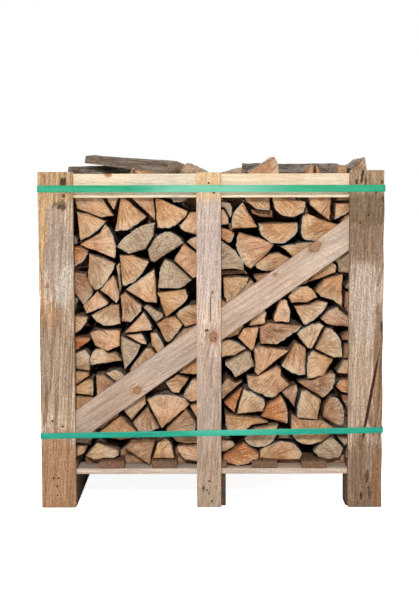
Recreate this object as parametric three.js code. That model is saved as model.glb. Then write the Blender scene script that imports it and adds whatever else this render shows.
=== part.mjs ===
// Crated stack of split firewood: a nailed board crate on runners, three rows of logs, two straps.
// Millimetres, +Z up, front towards -Y, origin at the middle of the base.
import * as THREE from 'three';

// ---- driving dimensions ----
const HALF = 527;
const GAP = 0.3;
const POST_T = 22;
const POST_H = 1036;
const RAIL_T = 20;
const RAIL_LOW = 957;
const RAIL_HIGH = 1031;
const BRACE_SLOPE = 0.709;
const BRACE_W = 84;
const BRACE_CUT = 222;
const RUNNER_W = 77;
const RUNNER_H = 100;
const BEARER_W = 100;
const BEARER_T = 18;
const SLAT_W = 78;
const SLAT_T = 22;
const STRAP_T = 1;
const STRAP_GAP = 0.5;
const LOG_LENGTH = 320;
const ROW_HALF = 482;
const ROW_TOP = 972;

// ---- layers, from the outside inwards ----
const POST_IN = HALF - POST_T;
const RAIL_OUT = POST_IN - GAP;
const RAIL_IN = RAIL_OUT - RAIL_T;
const SIDE_RAIL_END = RAIL_IN - GAP;
const BEARER_Z = RUNNER_H + GAP;
const SLAT_Z = BEARER_Z + BEARER_T + GAP;
const FLOOR_Z = SLAT_Z + SLAT_T + GAP;

// ---- finishes ----
const FINISH = {
  post: ['#b39270', 0.8],
  rail: ['#e0c8a4', 0.75],
  brace: ['#cdb195', 0.75],
  base: ['#bda993', 0.8],
  strap: ['#2fb48e', 0.35],
  log: ['#c59a6e', 0.85],
  bark: ['#6c6157', 0.9],
};

const part = new THREE.Group();
part.name = 'crated_firewood';

function add(name, geometry, finish, parent = part) {
  const [color, roughness] = FINISH[finish];
  const material = new THREE.MeshStandardMaterial({ color, roughness, metalness: 0 });
  const mesh = new THREE.Mesh(geometry, material);
  mesh.name = name;
  parent.add(mesh);
  return mesh;
}

// A solid box between two corners.
function box(name, low, high, finish, parent = part) {
  const size = high.map((value, i) => value - low[i]);
  const mesh = add(name, new THREE.BoxGeometry(...size), finish, parent);
  mesh.position.set(...low.map((value, i) => value + size[i] / 2));
  return mesh;
}

// An outline in x and z, carried from y0 to y1.
function prism(name, points, y0, y1, finish, parent = part) {
  const shape = new THREE.Shape(points.map(([x, z]) => new THREE.Vector2(x, -z)));
  const geometry = new THREE.ExtrudeGeometry(shape, { depth: y1 - y0, bevelEnabled: false });
  const mesh = add(name, geometry, finish, parent);
  mesh.rotation.x = -Math.PI / 2;
  mesh.position.y = y0;
  return mesh;
}

// ---- crate sides ----
// One side: outer posts, a top rail and a rising brace in the layer behind them. Seen from outside,
// the side runs along its own x, with its outer face at y = -HALF.
function crateSide(side, turn, posts, railEnd) {
  const frame = new THREE.Group();
  frame.name = `${side}_side`;
  frame.rotation.z = turn;
  part.add(frame);
  for (const [place, low, high, height] of posts) {
    box(`${side}_post_${place}`, [low, -HALF, 0], [high, -POST_IN, height], 'post', frame);
  }
  box(`${side}_rail`, [-railEnd, -RAIL_OUT, RAIL_LOW], [railEnd, -RAIL_IN, RAIL_HIGH], 'rail', frame);
  const braceEnd = railEnd - 10;
  const half = (BRACE_W / 2) * Math.hypot(1, BRACE_SLOPE);
  const middle = 548;
  const edge = (x, offset) => middle + BRACE_SLOPE * x + offset;
  const cutX = (BRACE_CUT - middle + half) / BRACE_SLOPE;
  const limit = RAIL_LOW - 1;
  const top = Math.min(edge(braceEnd, half), limit);
  const topX = Math.min((limit - middle - half) / BRACE_SLOPE, braceEnd);
  const outline = [
    [cutX, BRACE_CUT],
    [braceEnd, edge(braceEnd, -half)],
    [braceEnd, top],
  ];
  if (topX < braceEnd) {
    outline.push([topX, limit]);
  }
  outline.push([-braceEnd, edge(-braceEnd, half)]);
  outline.push([-braceEnd, BRACE_CUT]);
  prism(`${side}_brace`, outline, -RAIL_OUT, -RAIL_IN, 'brace', frame);
}

const MAIN_POSTS = [
  ['left', -HALF, -420, POST_H],
  ['centre', -46, 30, POST_H - 2],
  ['right', 420, HALF, POST_H + 4],
];
const SIDE_POSTS = [
  ['left', -RAIL_OUT, -405, POST_H - 4],
  ['centre', -38, 38, POST_H - 3],
  ['right', 405, RAIL_OUT, POST_H - 4],
];
crateSide('front', 0, MAIN_POSTS, RAIL_OUT);
crateSide('back', Math.PI, MAIN_POSTS.map(([place, low, high]) => [place, low, high, POST_H]), RAIL_OUT);
crateSide('right', Math.PI / 2, SIDE_POSTS, SIDE_RAIL_END);
crateSide('left', -Math.PI / 2, SIDE_POSTS, SIDE_RAIL_END);

// ---- base: runners and blocks, bearers across them, slats front to back ----
box('runner_left', [-420 - RUNNER_W + 2, -RAIL_OUT, 0], [-418, RAIL_OUT, RUNNER_H], 'base');
const CENTRE_RUNNER = [
  [-33, 0],
  [33, 0],
  [40, 4],
  [42, 12],
  [44, 45],
  [44, RUNNER_H],
  [-33, RUNNER_H],
];
prism('runner_centre', CENTRE_RUNNER, -RAIL_OUT, RAIL_OUT, 'base');
const RIGHT_BLOCK = [
  [423, 0],
  [493, 0],
  [493, RUNNER_H],
  [418, RUNNER_H],
  [419, 72],
  [415, 52],
  [415, 38],
  [418, 20],
];
const BLOCKS = { front: [-RAIL_OUT, -RAIL_OUT + 92], middle: [-46, 46], back: [RAIL_OUT - 92, RAIL_OUT] };
for (const [place, [y0, y1]] of Object.entries(BLOCKS)) {
  prism(`block_right_${place}`, RIGHT_BLOCK, y0, y1, 'base');
}
const BEARERS = {
  front: [-RAIL_OUT, -RAIL_OUT + BEARER_W],
  middle: [-BEARER_W / 2, BEARER_W / 2],
  back: [RAIL_OUT - BEARER_W, RAIL_OUT],
};
for (const [place, [y0, y1]] of Object.entries(BEARERS)) {
  box(`bearer_${place}`, [-RAIL_OUT, y0, BEARER_Z], [RAIL_OUT, y1, BEARER_Z + BEARER_T], 'base');
}
const SLAT_CENTRES = [-455, -311, -147, 8, 164, 318, 458];
SLAT_CENTRES.forEach((x, i) => {
  const low = [x - SLAT_W / 2, -RAIL_OUT, SLAT_Z];
  const high = [x + SLAT_W / 2, RAIL_OUT, SLAT_Z + SLAT_T];
  box(`slat_${i + 1}`, low, high, 'base');
});

// ---- straps: taut bands round all four sides ----
function strap(name, z, width, tilt) {
  const inner = HALF + STRAP_GAP;
  const outer = inner + STRAP_T;
  const bend = STRAP_T + STRAP_GAP;
  const shape = new THREE.Shape();
  const start = outer - bend;
  shape.moveTo(-start, -outer);
  shape.lineTo(start, -outer);
  shape.absarc(start, -start, bend, -Math.PI / 2, 0);
  shape.lineTo(outer, start);
  shape.absarc(start, start, bend, 0, Math.PI / 2);
  shape.lineTo(-start, outer);
  shape.absarc(-start, start, bend, Math.PI / 2, Math.PI);
  shape.lineTo(-outer, -start);
  shape.absarc(-start, -start, bend, Math.PI, 1.5 * Math.PI);
  const hole = [[-inner, -inner], [-inner, inner], [inner, inner], [inner, -inner]];
  shape.holes.push(new THREE.Path(hole.map(([x, y]) => new THREE.Vector2(x, y))));
  const geometry = new THREE.ExtrudeGeometry(shape, { depth: width, bevelEnabled: false, curveSegments: 6 });
  geometry.translate(0, 0, -width / 2);
  const mesh = add(name, geometry, 'strap');
  mesh.position.z = z;
  mesh.rotation.y = -tilt;
}
strap('strap_upper', 985, 21, 0);
strap('strap_lower', 234, 18, 0.016);

// ---- stacked logs: three rows, ends to the front and back ----
// The outline runs round the row with a bulge for each log that lies against the crate.
function rowOutline(topZ, bulge) {
  const points = [];
  const corners = [
    [-ROW_HALF, FLOOR_Z],
    [ROW_HALF, FLOOR_Z],
    [ROW_HALF, topZ],
    [-ROW_HALF, topZ],
  ];
  const counts = [10, 8, 10, 8];
  corners.forEach(([x0, z0], side) => {
    const [x1, z1] = corners[(side + 1) % 4];
    const length = Math.hypot(x1 - x0, z1 - z0);
    const inward = [-(z1 - z0) / length, (x1 - x0) / length];
    for (let log = 0; log < counts[side]; log += 1) {
      for (const [share, dip] of [[0.03, 1], [0.28, 0.25], [0.6, 0], [0.85, 0.45]]) {
        const t = (log + share) / counts[side];
        const depth = side === 0 ? 0 : dip * bulge * (1 + ((log * 7 + side * 3) % 5)) / 4;
        points.push([x0 + (x1 - x0) * t + inward[0] * depth, z0 + (z1 - z0) * t + inward[1] * depth]);
      }
    }
  });
  return points;
}
const ROWS = {
  front: [-ROW_HALF, ROW_TOP],
  middle: [-LOG_LENGTH / 2, ROW_TOP],
  back: [ROW_HALF - LOG_LENGTH, ROW_TOP + 20],
};
for (const [place, [y0, topZ]] of Object.entries(ROWS)) {
  prism(`log_row_${place}`, rowOutline(topZ, 9), y0, y0 + LOG_LENGTH, 'log');
}

// ---- loose logs lying on the stack ----
const LOOSE_Z = ROW_TOP + 1;
const FRONT_LOG = [-478, -478 + LOG_LENGTH - 4];
const END_ON = {
  thin_wedge: [[-252, LOOSE_Z], [-237.5, LOOSE_Z], [-237.5, 1044], [-243, 1047], [-249, 1036]],
  flat_split: [[-236, LOOSE_Z], [-106, LOOSE_Z], [-106, 1030], [-170, 1036], [-236, 1044]],
  brown_half: [[-98, LOOSE_Z], [-2, LOOSE_Z], [-3, 1033], [-40, 1050], [-73, 1064], [-86, 1058], [-96, 1040]],
  dark_wedge: [[32, LOOSE_Z], [97, LOOSE_Z], [97, 1051], [34, 1034]],
  peaked_split: [[114, LOOSE_Z], [214, LOOSE_Z], [212, 1034], [203, 1066], [194, 1083], [152, 1054], [112, 1036]],
  small_wedge_left: [[284, LOOSE_Z], [315, LOOSE_Z], [314, 1052], [310, 1058], [286, 1037]],
  small_wedge_right: [[319, LOOSE_Z], [346, LOOSE_Z], [338, 1036], [325, 1055], [319, 1056]],
  pale_stub: [[384, LOOSE_Z], [417, LOOSE_Z], [417, 1055], [386, 1056]],
  corner_wedge: [[426, LOOSE_Z], [482, LOOSE_Z], [479, 1040], [471, 1079], [464, 1076], [427, 1046]],
};
for (const [name, points] of Object.entries(END_ON)) {
  const finish = name === 'dark_wedge' ? 'bark' : 'log';
  prism(`top_log_${name}`, points, ...FRONT_LOG, finish);
}

// A log lying across the stack: its section in its own x and z, its length along its own y.
function crosswise(name, section, length, centre, yaw, pitch, finish) {
  const log = new THREE.Group();
  log.name = `${name}_place`;
  log.position.set(...centre);
  log.rotation.set(0, pitch, yaw, 'ZYX');
  part.add(log);
  const turned = new THREE.Group();
  turned.name = `${name}_turn`;
  turned.rotation.z = Math.PI / 2;
  log.add(turned);
  prism(name, section, -length / 2, length / 2, finish, turned);
}
const HALF_ROUND = [
  [-46, -42],
  [46, -42],
  [47, -14],
  [39, 16],
  [18, 38],
  [-6, 43],
  [-30, 31],
  [-45, 4],
];
const SPLIT_SLAB = [
  [-46, -14],
  [38, -16],
  [47, -3],
  [40, 11],
  [6, 16],
  [-40, 13],
];
crosswise('top_log_bark_left', HALF_ROUND, LOG_LENGTH, [-318, -104, 1015.5], 0, 0, 'bark');
crosswise('top_log_bark_right', HALF_ROUND, LOG_LENGTH + 4, [263, -104, 1021], 0, 0, 'bark');
crosswise('top_log_split_over', SPLIT_SLAB, LOG_LENGTH, [-256, -196, 1066.5], -0.45, 0.082, 'log');

export default part;
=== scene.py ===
"""A board crate of stacked, split firewood, strapped twice round, with loose logs lying on top.

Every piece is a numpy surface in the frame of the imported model: metres, +Z up, front towards -Y.
"""
import logging
import math
from collections.abc import Iterable, Sequence
from dataclasses import dataclass, field
from enum import Enum

import bpy
import numpy as np
from mathutils import Matrix, Vector


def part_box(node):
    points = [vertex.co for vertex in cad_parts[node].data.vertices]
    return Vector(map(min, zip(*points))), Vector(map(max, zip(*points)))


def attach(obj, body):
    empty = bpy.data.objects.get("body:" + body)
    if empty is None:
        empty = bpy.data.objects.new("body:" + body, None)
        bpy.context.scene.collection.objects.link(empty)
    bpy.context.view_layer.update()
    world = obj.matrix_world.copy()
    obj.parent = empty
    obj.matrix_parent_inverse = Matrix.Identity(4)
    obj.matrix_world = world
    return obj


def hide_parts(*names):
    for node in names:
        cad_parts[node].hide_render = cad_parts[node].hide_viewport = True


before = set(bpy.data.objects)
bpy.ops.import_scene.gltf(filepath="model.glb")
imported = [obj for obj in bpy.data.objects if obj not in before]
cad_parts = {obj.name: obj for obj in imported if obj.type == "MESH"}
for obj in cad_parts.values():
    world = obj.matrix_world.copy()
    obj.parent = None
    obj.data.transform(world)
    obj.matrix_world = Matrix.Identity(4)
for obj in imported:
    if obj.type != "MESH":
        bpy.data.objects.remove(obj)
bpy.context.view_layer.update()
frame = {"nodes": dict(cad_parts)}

REPORT = logging.getLogger("firewood")
MM = 0.001
CM = 0.01
ROOT = "root"
Colour = tuple[float, float, float]


def linear(colour: Colour) -> tuple[float, float, float, float]:
    """Turns a display colour into linear light.

    Args:
        colour: Red, green and blue as shown on a screen, 0 to 1.

    Returns:
        The linear colour with full alpha.
    """
    values = np.array(colour, float)
    light = np.where(values <= 0.04045, values / 12.92, ((values + 0.055) / 1.055) ** 2.4)
    return (*light.tolist(), 1.0)


def ripple(points: np.ndarray, wavelength: float, seed: int, waves: int = 8) -> np.ndarray:
    """Smooth wandering value, mostly -1 to 1: a sum of sine waves in seeded directions.

    Args:
        points: One row of coordinates for each value.
        wavelength: Middle wavelength of the waves, in the units of the points.
        seed: Chooses the directions, wavelengths and phases.
        waves: How many waves are summed.

    Returns:
        One value for each point.
    """
    draw = np.random.default_rng(seed)
    directions = draw.normal(size=(waves, points.shape[-1]))
    directions /= np.linalg.norm(directions, axis=1, keepdims=True)
    lengths = wavelength * draw.uniform(0.55, 1.7, waves)
    phases = draw.uniform(0, 2 * np.pi, waves)
    turns = 2 * np.pi * (points @ directions.T) / lengths + phases
    return np.sin(turns).sum(axis=-1) / math.sqrt(waves)


# ---- surfaces ----


@dataclass
class Surface:
    """A closed surface as arrays, ready to become a mesh."""

    points: np.ndarray
    quads: np.ndarray
    tris: np.ndarray
    quad_finish: np.ndarray
    tri_finish: np.ndarray
    fields: dict[str, np.ndarray] = field(default_factory=dict)

    def moved(self, place: Matrix) -> "Surface":
        """Carries the points through a placement; the fields stay with the surface."""
        turn = np.array(place.to_3x3())
        self.points = self.points @ turn.T + np.array(place.translation)
        return self

    def piece(
        self,
        name: str,
        finishes: Sequence[bpy.types.Material],
        slot: str,
        nodes: Iterable[str],
        sharp: float = 40.0,
    ) -> bpy.types.Object:
        """Makes the mesh object, puts it on the root body and reports it.

        Args:
            name: The piece's name.
            finishes: Materials that the face finishes number.
            slot: The record's material slot. It is not used.
            nodes: CAD nodes that the piece stands for.
            sharp: Edges that turn more than this, in degrees, stay crisp.

        Returns:
            The object, at the origin and unturned.
        """
        mesh = bpy.data.meshes.new(name)
        mesh.vertices.add(len(self.points))
        mesh.vertices.foreach_set("co", self.points.astype(np.float32).ravel())
        corners = np.concatenate([self.quads.ravel(), self.tris.ravel()]).astype(np.int32)
        mesh.loops.add(len(corners))
        mesh.loops.foreach_set("vertex_index", corners)
        quad_corners = 4 * len(self.quads)
        starts = np.concatenate(
            [np.arange(len(self.quads)) * 4, quad_corners + np.arange(len(self.tris)) * 3]
        )
        mesh.polygons.add(len(starts))
        mesh.polygons.foreach_set("loop_start", starts.astype(np.int32))
        finish_index = np.concatenate([self.quad_finish, self.tri_finish]).astype(np.int32)
        mesh.polygons.foreach_set("material_index", finish_index)
        for label, values in self.fields.items():
            kind, key = ("FLOAT_VECTOR", "vector") if values.ndim == 2 else ("FLOAT", "value")
            layer = mesh.attributes.new(label, kind, "POINT")
            layer.data.foreach_set(key, values.astype(np.float32).ravel())
        mesh.update(calc_edges=True)
        mesh.shade_smooth()
        mesh.set_sharp_from_angle(angle=math.radians(sharp))
        for finish in finishes:
            mesh.materials.append(finish)
        made = bpy.data.objects.new(name, mesh)
        bpy.context.scene.collection.objects.link(made)
        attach(made, ROOT)
        stood_for = list(nodes)
        if stood_for:
            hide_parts(*stood_for)
        REPORT.info("%s: %d points, %d faces", name, len(self.points), len(starts))
        return made


def joined(surfaces: Sequence[Surface]) -> Surface:
    """Puts several surfaces side by side in one.

    Args:
        surfaces: Surfaces that carry the same fields.

    Returns:
        One surface whose faces count on through the points of all.
    """
    offsets = np.cumsum([0] + [len(s.points) for s in surfaces[:-1]])
    return Surface(
        np.concatenate([s.points for s in surfaces]),
        np.concatenate([s.quads + o for s, o in zip(surfaces, offsets)]),
        np.concatenate([s.tris + o for s, o in zip(surfaces, offsets)]),
        np.concatenate([s.quad_finish for s in surfaces]),
        np.concatenate([s.tri_finish for s in surfaces]),
        {k: np.concatenate([s.fields[k] for s in surfaces]) for k in surfaces[0].fields},
    )


def closed_sweep(rings: np.ndarray, first: np.ndarray, last: np.ndarray) -> Surface:
    """A skin through rings of points, closed by a fan at each end.

    Neighbouring rings are joined by quads, and each end point is joined to its ring by triangles.
    The rings run against the clock seen from before the first one, which turns the faces out.

    Args:
        rings: Points by ring and by place round the ring, as an array of rings x places x 3.
        first: The middle point that closes the first ring.
        last: The middle point that closes the last ring.

    Returns:
        The closed surface, with finish 0 on every face.
    """
    count, around, _ = rings.shape
    here = np.arange(around)
    after = np.roll(here, -1)
    base = np.arange(count - 1)[:, None] * around
    quads = np.stack([base + here, base + around + here, base + around + after, base + after], axis=-1)
    poles = count * around
    final = (count - 1) * around
    front = np.stack([np.full(around, poles), here, after], axis=-1)
    back = np.stack([np.full(around, poles + 1), final + after, final + here], axis=-1)
    points = np.concatenate([rings.reshape(-1, 3), first[None], last[None]])
    quads = quads.reshape(-1, 4)
    tris = np.concatenate([front, back])
    return Surface(points, quads, tris, np.zeros(len(quads)), np.zeros(len(tris)))


def closed_loop(rings: np.ndarray) -> Surface:
    """A skin through rings that close on themselves, the last joined to the first.

    Args:
        rings: Points by ring and by place round the ring, as an array of rings x places x 3.

    Returns:
        The closed surface, with finish 0 on every face.
    """
    count, around, _ = rings.shape
    here = np.arange(around)
    after = np.roll(here, -1)
    base = np.arange(count)[:, None] * around
    ahead = np.roll(base, -1, axis=0)
    quads = np.stack([base + here, ahead + here, ahead + after, base + after], axis=-1).reshape(-1, 4)
    none = np.zeros((0, 3), int)
    return Surface(rings.reshape(-1, 3), quads, none, np.zeros(len(quads)), np.zeros(0))


# ---- shader building ----

Feed = bpy.types.NodeSocket | float | tuple | Sequence[float]


class Tree:
    """Short calls that build one node tree."""

    def __init__(self, tree: bpy.types.NodeTree) -> None:
        """Keeps the tree that the nodes go into."""
        self.tree = tree

    def feed(self, socket: bpy.types.NodeSocket, value: Feed) -> None:
        """Links a socket to another, or sets its own value."""
        if isinstance(value, bpy.types.NodeSocket):
            self.tree.links.new(value, socket)
        else:
            socket.default_value = value

    def add(self, kind: str, *feeds: Feed, **settings: object) -> bpy.types.Node:
        """Adds a node.

        Args:
            kind: The node's type, without its ShaderNode prefix.
            feeds: Values for its first inputs, in their order.
            settings: Properties set on the node.

        Returns:
            The node.
        """
        node = self.tree.nodes.new("ShaderNode" + kind)
        for key, value in settings.items():
            setattr(node, key, value)
        for socket, value in zip(node.inputs, feeds):
            self.feed(socket, value)
        return node

    def field(self, name: str) -> bpy.types.Node:
        """Reads a field of the surface."""
        return self.add("Attribute", attribute_name=name)

    def math(self, operation: str, *values: Feed) -> bpy.types.NodeSocket:
        """One arithmetic step."""
        return self.add("Math", *values, operation=operation).outputs[0]

    def times(self, first: Feed, second: Feed) -> bpy.types.NodeSocket:
        """The product of two values."""
        return self.math("MULTIPLY", first, second)

    def plus(self, first: Feed, second: Feed) -> bpy.types.NodeSocket:
        """The sum of two values."""
        return self.math("ADD", first, second)

    def minus(self, first: Feed, second: Feed) -> bpy.types.NodeSocket:
        """The first value less the second."""
        return self.math("SUBTRACT", first, second)

    def length(self, x: Feed, y: Feed, z: Feed = 0.0) -> bpy.types.NodeSocket:
        """How long a vector of three values is."""
        return self.add("VectorMath", self.combine(x, y, z), operation="LENGTH").outputs["Value"]

    def combine(self, x: Feed, y: Feed, z: Feed) -> bpy.types.NodeSocket:
        """Three values as one vector."""
        return self.add("CombineXYZ", x, y, z).outputs[0]

    def split(self, vector: Feed) -> list[bpy.types.NodeSocket]:
        """One vector as its three values."""
        return list(self.add("SeparateXYZ", vector).outputs)

    def ease(
        self, value: Feed, low: float, high: float, start: float = 0.0, end: float = 1.0
    ) -> bpy.types.NodeSocket:
        """Turns low to high into start to end, with soft ends and nothing beyond them."""
        node = self.add("MapRange", value, low, high, start, end, interpolation_type="SMOOTHSTEP")
        return node.outputs[0]

    def noise(
        self, vector: Feed, scale: Feed, detail: float = 2.0, rough: float = 0.5
    ) -> bpy.types.NodeSocket:
        """Cloudy value around one half."""
        node = self.add("TexNoise")
        feeds = {"Vector": vector, "Scale": scale, "Detail": detail, "Roughness": rough}
        for key, value in feeds.items():
            self.feed(node.inputs[key], value)
        return node.outputs["Fac"]

    def mix(self, share: Feed, first: Feed, second: Feed, blend: str = "MIX") -> bpy.types.NodeSocket:
        """Blends two colours by a share."""
        node = self.add("Mix", data_type="RGBA", blend_type=blend)
        self.feed(node.inputs[0], share)
        self.feed(node.inputs[6], first)
        self.feed(node.inputs[7], second)
        return node.outputs[2]

    def group(self, shared: bpy.types.NodeTree, **feeds: Feed) -> dict[str, bpy.types.NodeSocket]:
        """Places a shared effect and feeds its named inputs.

        Args:
            shared: The effect's node group.
            feeds: A value for each named input that is set.

        Returns:
            The node's outputs, by name.
        """
        node = self.tree.nodes.new("ShaderNodeGroup")
        node.node_tree = shared
        for key, value in feeds.items():
            self.feed(node.inputs[key], value)
        return {socket.name: socket for socket in node.outputs}


class SharedEffect:
    """A node group under construction, with its named inputs and outputs."""

    def __init__(self, name: str, inputs: dict[str, object], outputs: Sequence[str]) -> None:
        """Makes the group's sockets: a vector input for a None default, and a number for any other."""
        self.group = bpy.data.node_groups.new(name, "ShaderNodeTree")
        for label, default in inputs.items():
            kind = "NodeSocketVector" if default is None else "NodeSocketFloat"
            socket = self.group.interface.new_socket(name=label, in_out="INPUT", socket_type=kind)
            if default is not None:
                socket.default_value = default
        for label in outputs:
            self.group.interface.new_socket(name=label, in_out="OUTPUT", socket_type="NodeSocketFloat")
        self.tree = Tree(self.group)
        self.inputs = self.group.nodes.new("NodeGroupInput").outputs
        self.results = self.group.nodes.new("NodeGroupOutput").inputs

    def give(self, **values: bpy.types.NodeSocket) -> bpy.types.NodeTree:
        """Links the results to the named outputs and returns the finished group."""
        for label, value in values.items():
            self.tree.feed(self.results[label], value)
        return self.group


def growth_rings() -> bpy.types.NodeTree:
    """Year rings: distance from the pith, bent a little, counted in ring widths; each ends in a dark line."""
    inputs = {"Grain": None, "Spacing": 0.004, "Wander": 0.004}
    effect = SharedEffect("growth_rings", inputs, ["Late", "Radius"])
    t = effect.tree
    along, across, through = t.split(effect.inputs["Grain"])
    flat = t.combine(t.times(along, 0.12), across, through)
    bend = t.times(t.minus(t.noise(flat, 26.0, 2.0), 0.5), effect.inputs["Wander"])
    radius = t.length(0.0, across, through)
    count = t.math("DIVIDE", t.plus(radius, bend), effect.inputs["Spacing"])
    part = t.math("FRACT", count)
    rise = t.ease(part, 0.35, 0.9)
    fall = t.ease(part, 0.93, 1.0, 1.0, 0.0)
    strength = t.noise(t.combine(t.math("FLOOR", count), 0.5, 0.5), 2.3, 0.0)
    late = t.times(t.times(rise, fall), t.ease(strength, 0.3, 0.7, 0.35, 1.0))
    return effect.give(Late=late, Radius=radius)


def fibre_streaks() -> bpy.types.NodeTree:
    """Long fibres: clouds drawn out along the grain, coarse and fine, dark pores, and a fuzzy mottle."""
    effect = SharedEffect("fibre_streaks", {"Grain": None, "Fineness": 1.0}, ["Streak", "Pores", "Mottle"])
    t = effect.tree
    along, across, through = t.split(effect.inputs["Grain"])
    fine = effect.inputs["Fineness"]

    def drawn(length: float, width: float) -> bpy.types.NodeSocket:
        """The grain, scaled along the board and across it."""
        scaled = (t.times(axis, size) for axis, size in ((along, length), (across, width), (through, width)))
        return t.combine(*scaled)

    coarse = t.noise(drawn(4.0, 120.0), 1.0, 3.0)
    hair = t.noise(drawn(14.0, 620.0), fine, 2.0)
    fuzz = t.noise(drawn(150.0, 420.0), fine, 4.0, 0.75)
    streak = t.plus(t.times(coarse, 0.5), t.times(hair, 0.5))
    return effect.give(Streak=streak, Pores=t.ease(hair, 0.36, 0.26), Mottle=t.ease(fuzz, 0.4, 0.6))


def weather_stain() -> bpy.types.NodeTree:
    """Grey, dirty patches: two sizes of cloud, kept where they pass a level set by the amount."""
    effect = SharedEffect("weather_stain", {"Grain": None, "Amount": 0.5}, ["Mask", "Speck"])
    t = effect.tree
    along, across, through = t.split(effect.inputs["Grain"])
    drawn = t.combine(t.times(along, 0.35), across, through)
    broad = t.noise(drawn, 11.0, 4.0, 0.6)
    level = t.plus(broad, t.times(t.minus(effect.inputs["Amount"], 0.5), 0.5))
    specks = t.noise(drawn, 260.0, 3.0, 0.7)
    return effect.give(Mask=t.ease(level, 0.36, 0.66), Speck=t.ease(specks, 0.4, 0.3))


def board_knot() -> bpy.types.NodeTree:
    """A knot: a ragged oval with a dark rim and a stained halo, and a push that bends the grain round it."""
    inputs = {"Place": None, "Along": 0.0, "Across": 0.0, "Radius": 0.01}
    effect = SharedEffect("board_knot", inputs, ["Core", "Rim", "Halo", "Push"])
    t = effect.tree
    along, across, _ = t.split(effect.inputs["Place"])
    radius = effect.inputs["Radius"]
    du = t.math("DIVIDE", t.minus(along, effect.inputs["Along"]), t.times(radius, 1.25))
    dv = t.math("DIVIDE", t.minus(across, effect.inputs["Across"]), radius)
    uneven = t.times(t.minus(t.noise(effect.inputs["Place"], 120.0, 4.0, 0.6), 0.5), 1.1)
    far = t.plus(t.length(du, dv), uneven)
    core = t.ease(far, 1.05, 0.85)
    rings = t.math("MULTIPLY_ADD", t.math("SINE", t.times(far, 15.0)), 0.3, 0.6)
    rim = t.times(t.ease(far, 0.66, 0.9), t.ease(far, 1.3, 0.98))
    halo = t.ease(far, 2.6, 0.8)
    fade = t.math("EXPONENT", t.times(t.times(far, far), -0.22))
    push = t.times(t.times(fade, radius), t.math("SIGN", dv))
    return effect.give(Core=t.times(core, rings), Rim=rim, Halo=halo, Push=push)


def board_patch() -> bpy.types.NodeTree:
    """A stained or worn patch: a ragged oval on the face, which may lean over along the board."""
    inputs = {"Place": None, "Along": 0.0, "Across": 0.0, "Length": 0.1, "Width": 0.05}
    effect = SharedEffect("board_patch", inputs | {"Lean": 0.0, "Ragged": 0.6}, ["Mask"])
    t = effect.tree
    along, across, _ = t.split(effect.inputs["Place"])
    far = t.minus(along, effect.inputs["Along"])
    slip = t.minus(across, effect.inputs["Across"])
    slip = t.minus(slip, t.times(far, effect.inputs["Lean"]))
    du = t.math("DIVIDE", far, effect.inputs["Length"])
    dv = t.math("DIVIDE", slip, effect.inputs["Width"])
    drawn = t.combine(t.times(along, 0.25), across, 0.0)
    uneven = t.minus(t.noise(drawn, 110.0, 4.0, 0.65), 0.5)
    ragged = t.math("MULTIPLY_ADD", uneven, t.times(effect.inputs["Ragged"], 2.0), t.length(du, dv))
    return effect.give(Mask=t.ease(ragged, 1.12, 0.72))


def drying_checks() -> bpy.types.NodeTree:
    """Cracks from drying: straight lines out from the pith, one to a sector at most, thin at both ends.

    Each sector draws its own odds, bearing and reach. A crack's width falls from its middle, and
    the same random number decides whether the sector has one at all.
    """
    effect = SharedEffect("drying_checks", {"Grain": None, "Own": 0.0, "Sectors": 14.0}, ["Crack"])
    t = effect.tree
    _, across, through = t.split(effect.inputs["Grain"])
    radius = t.length(0.0, across, through)
    wobble = t.minus(t.noise(t.combine(effect.inputs["Own"], across, through), 60.0, 2.0), 0.5)
    angle = t.math("MULTIPLY_ADD", wobble, 0.16, t.math("ARCTAN2", through, across))
    bearing = t.times(angle, t.math("DIVIDE", effect.inputs["Sectors"], 2 * math.pi))
    sector = t.math("FLOOR", bearing)
    dice = t.add("TexWhiteNoise", t.combine(sector, effect.inputs["Own"], 0.0), noise_dimensions="3D")
    odds, bias, reach = t.split(dice.outputs["Color"])
    middle = t.math("MULTIPLY_ADD", bias, 0.5, 0.25)
    off = t.minus(t.math("FRACT", bearing), middle)
    arc = t.math("DIVIDE", t.times(radius, 2 * math.pi), effect.inputs["Sectors"])
    aside = t.times(t.math("ABSOLUTE", off), arc)
    centre = t.math("MULTIPLY_ADD", reach, 0.07, 0.02)
    along = t.math("DIVIDE", t.minus(radius, centre), t.math("MULTIPLY_ADD", odds, 0.03, 0.004))
    taper = t.minus(1.0, t.times(along, along))
    width = t.times(t.math("MAXIMUM", taper, 0.0), 0.0009)
    inside = t.ease(t.minus(width, aside), -0.0002, 0.0003)
    there = t.times(t.math("GREATER_THAN", odds, 0.68), t.math("GREATER_THAN", taper, 0.0))
    return effect.give(Crack=t.times(inside, there))


@dataclass(frozen=True)
class SharedEffects:
    """The effects that several finishes use, each built once."""

    rings: bpy.types.NodeTree
    streaks: bpy.types.NodeTree
    stain: bpy.types.NodeTree
    knot: bpy.types.NodeTree
    patch: bpy.types.NodeTree
    checks: bpy.types.NodeTree

    @classmethod
    def build(cls) -> "SharedEffects":
        """Builds every shared effect."""
        return cls(
            growth_rings(), fibre_streaks(), weather_stain(), board_knot(), board_patch(), drying_checks()
        )


def new_material(
    name: str, roughness: float, metallic: float = 0.0
) -> tuple[bpy.types.Material, Tree, bpy.types.Node]:
    """Starts a material.

    Args:
        name: Its name.
        roughness: The same roughness all over.
        metallic: The same metallic value all over.

    Returns:
        The material, its tree's builder and its Principled shader.
    """
    material = bpy.data.materials.new(name)
    material.use_nodes = True
    tree = material.node_tree
    shader = tree.nodes["Principled BSDF"]
    shader.inputs["Roughness"].default_value = roughness
    shader.inputs["Metallic"].default_value = metallic
    shader.inputs["Specular IOR Level"].default_value = 0.3
    return material, Tree(tree), shader


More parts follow.
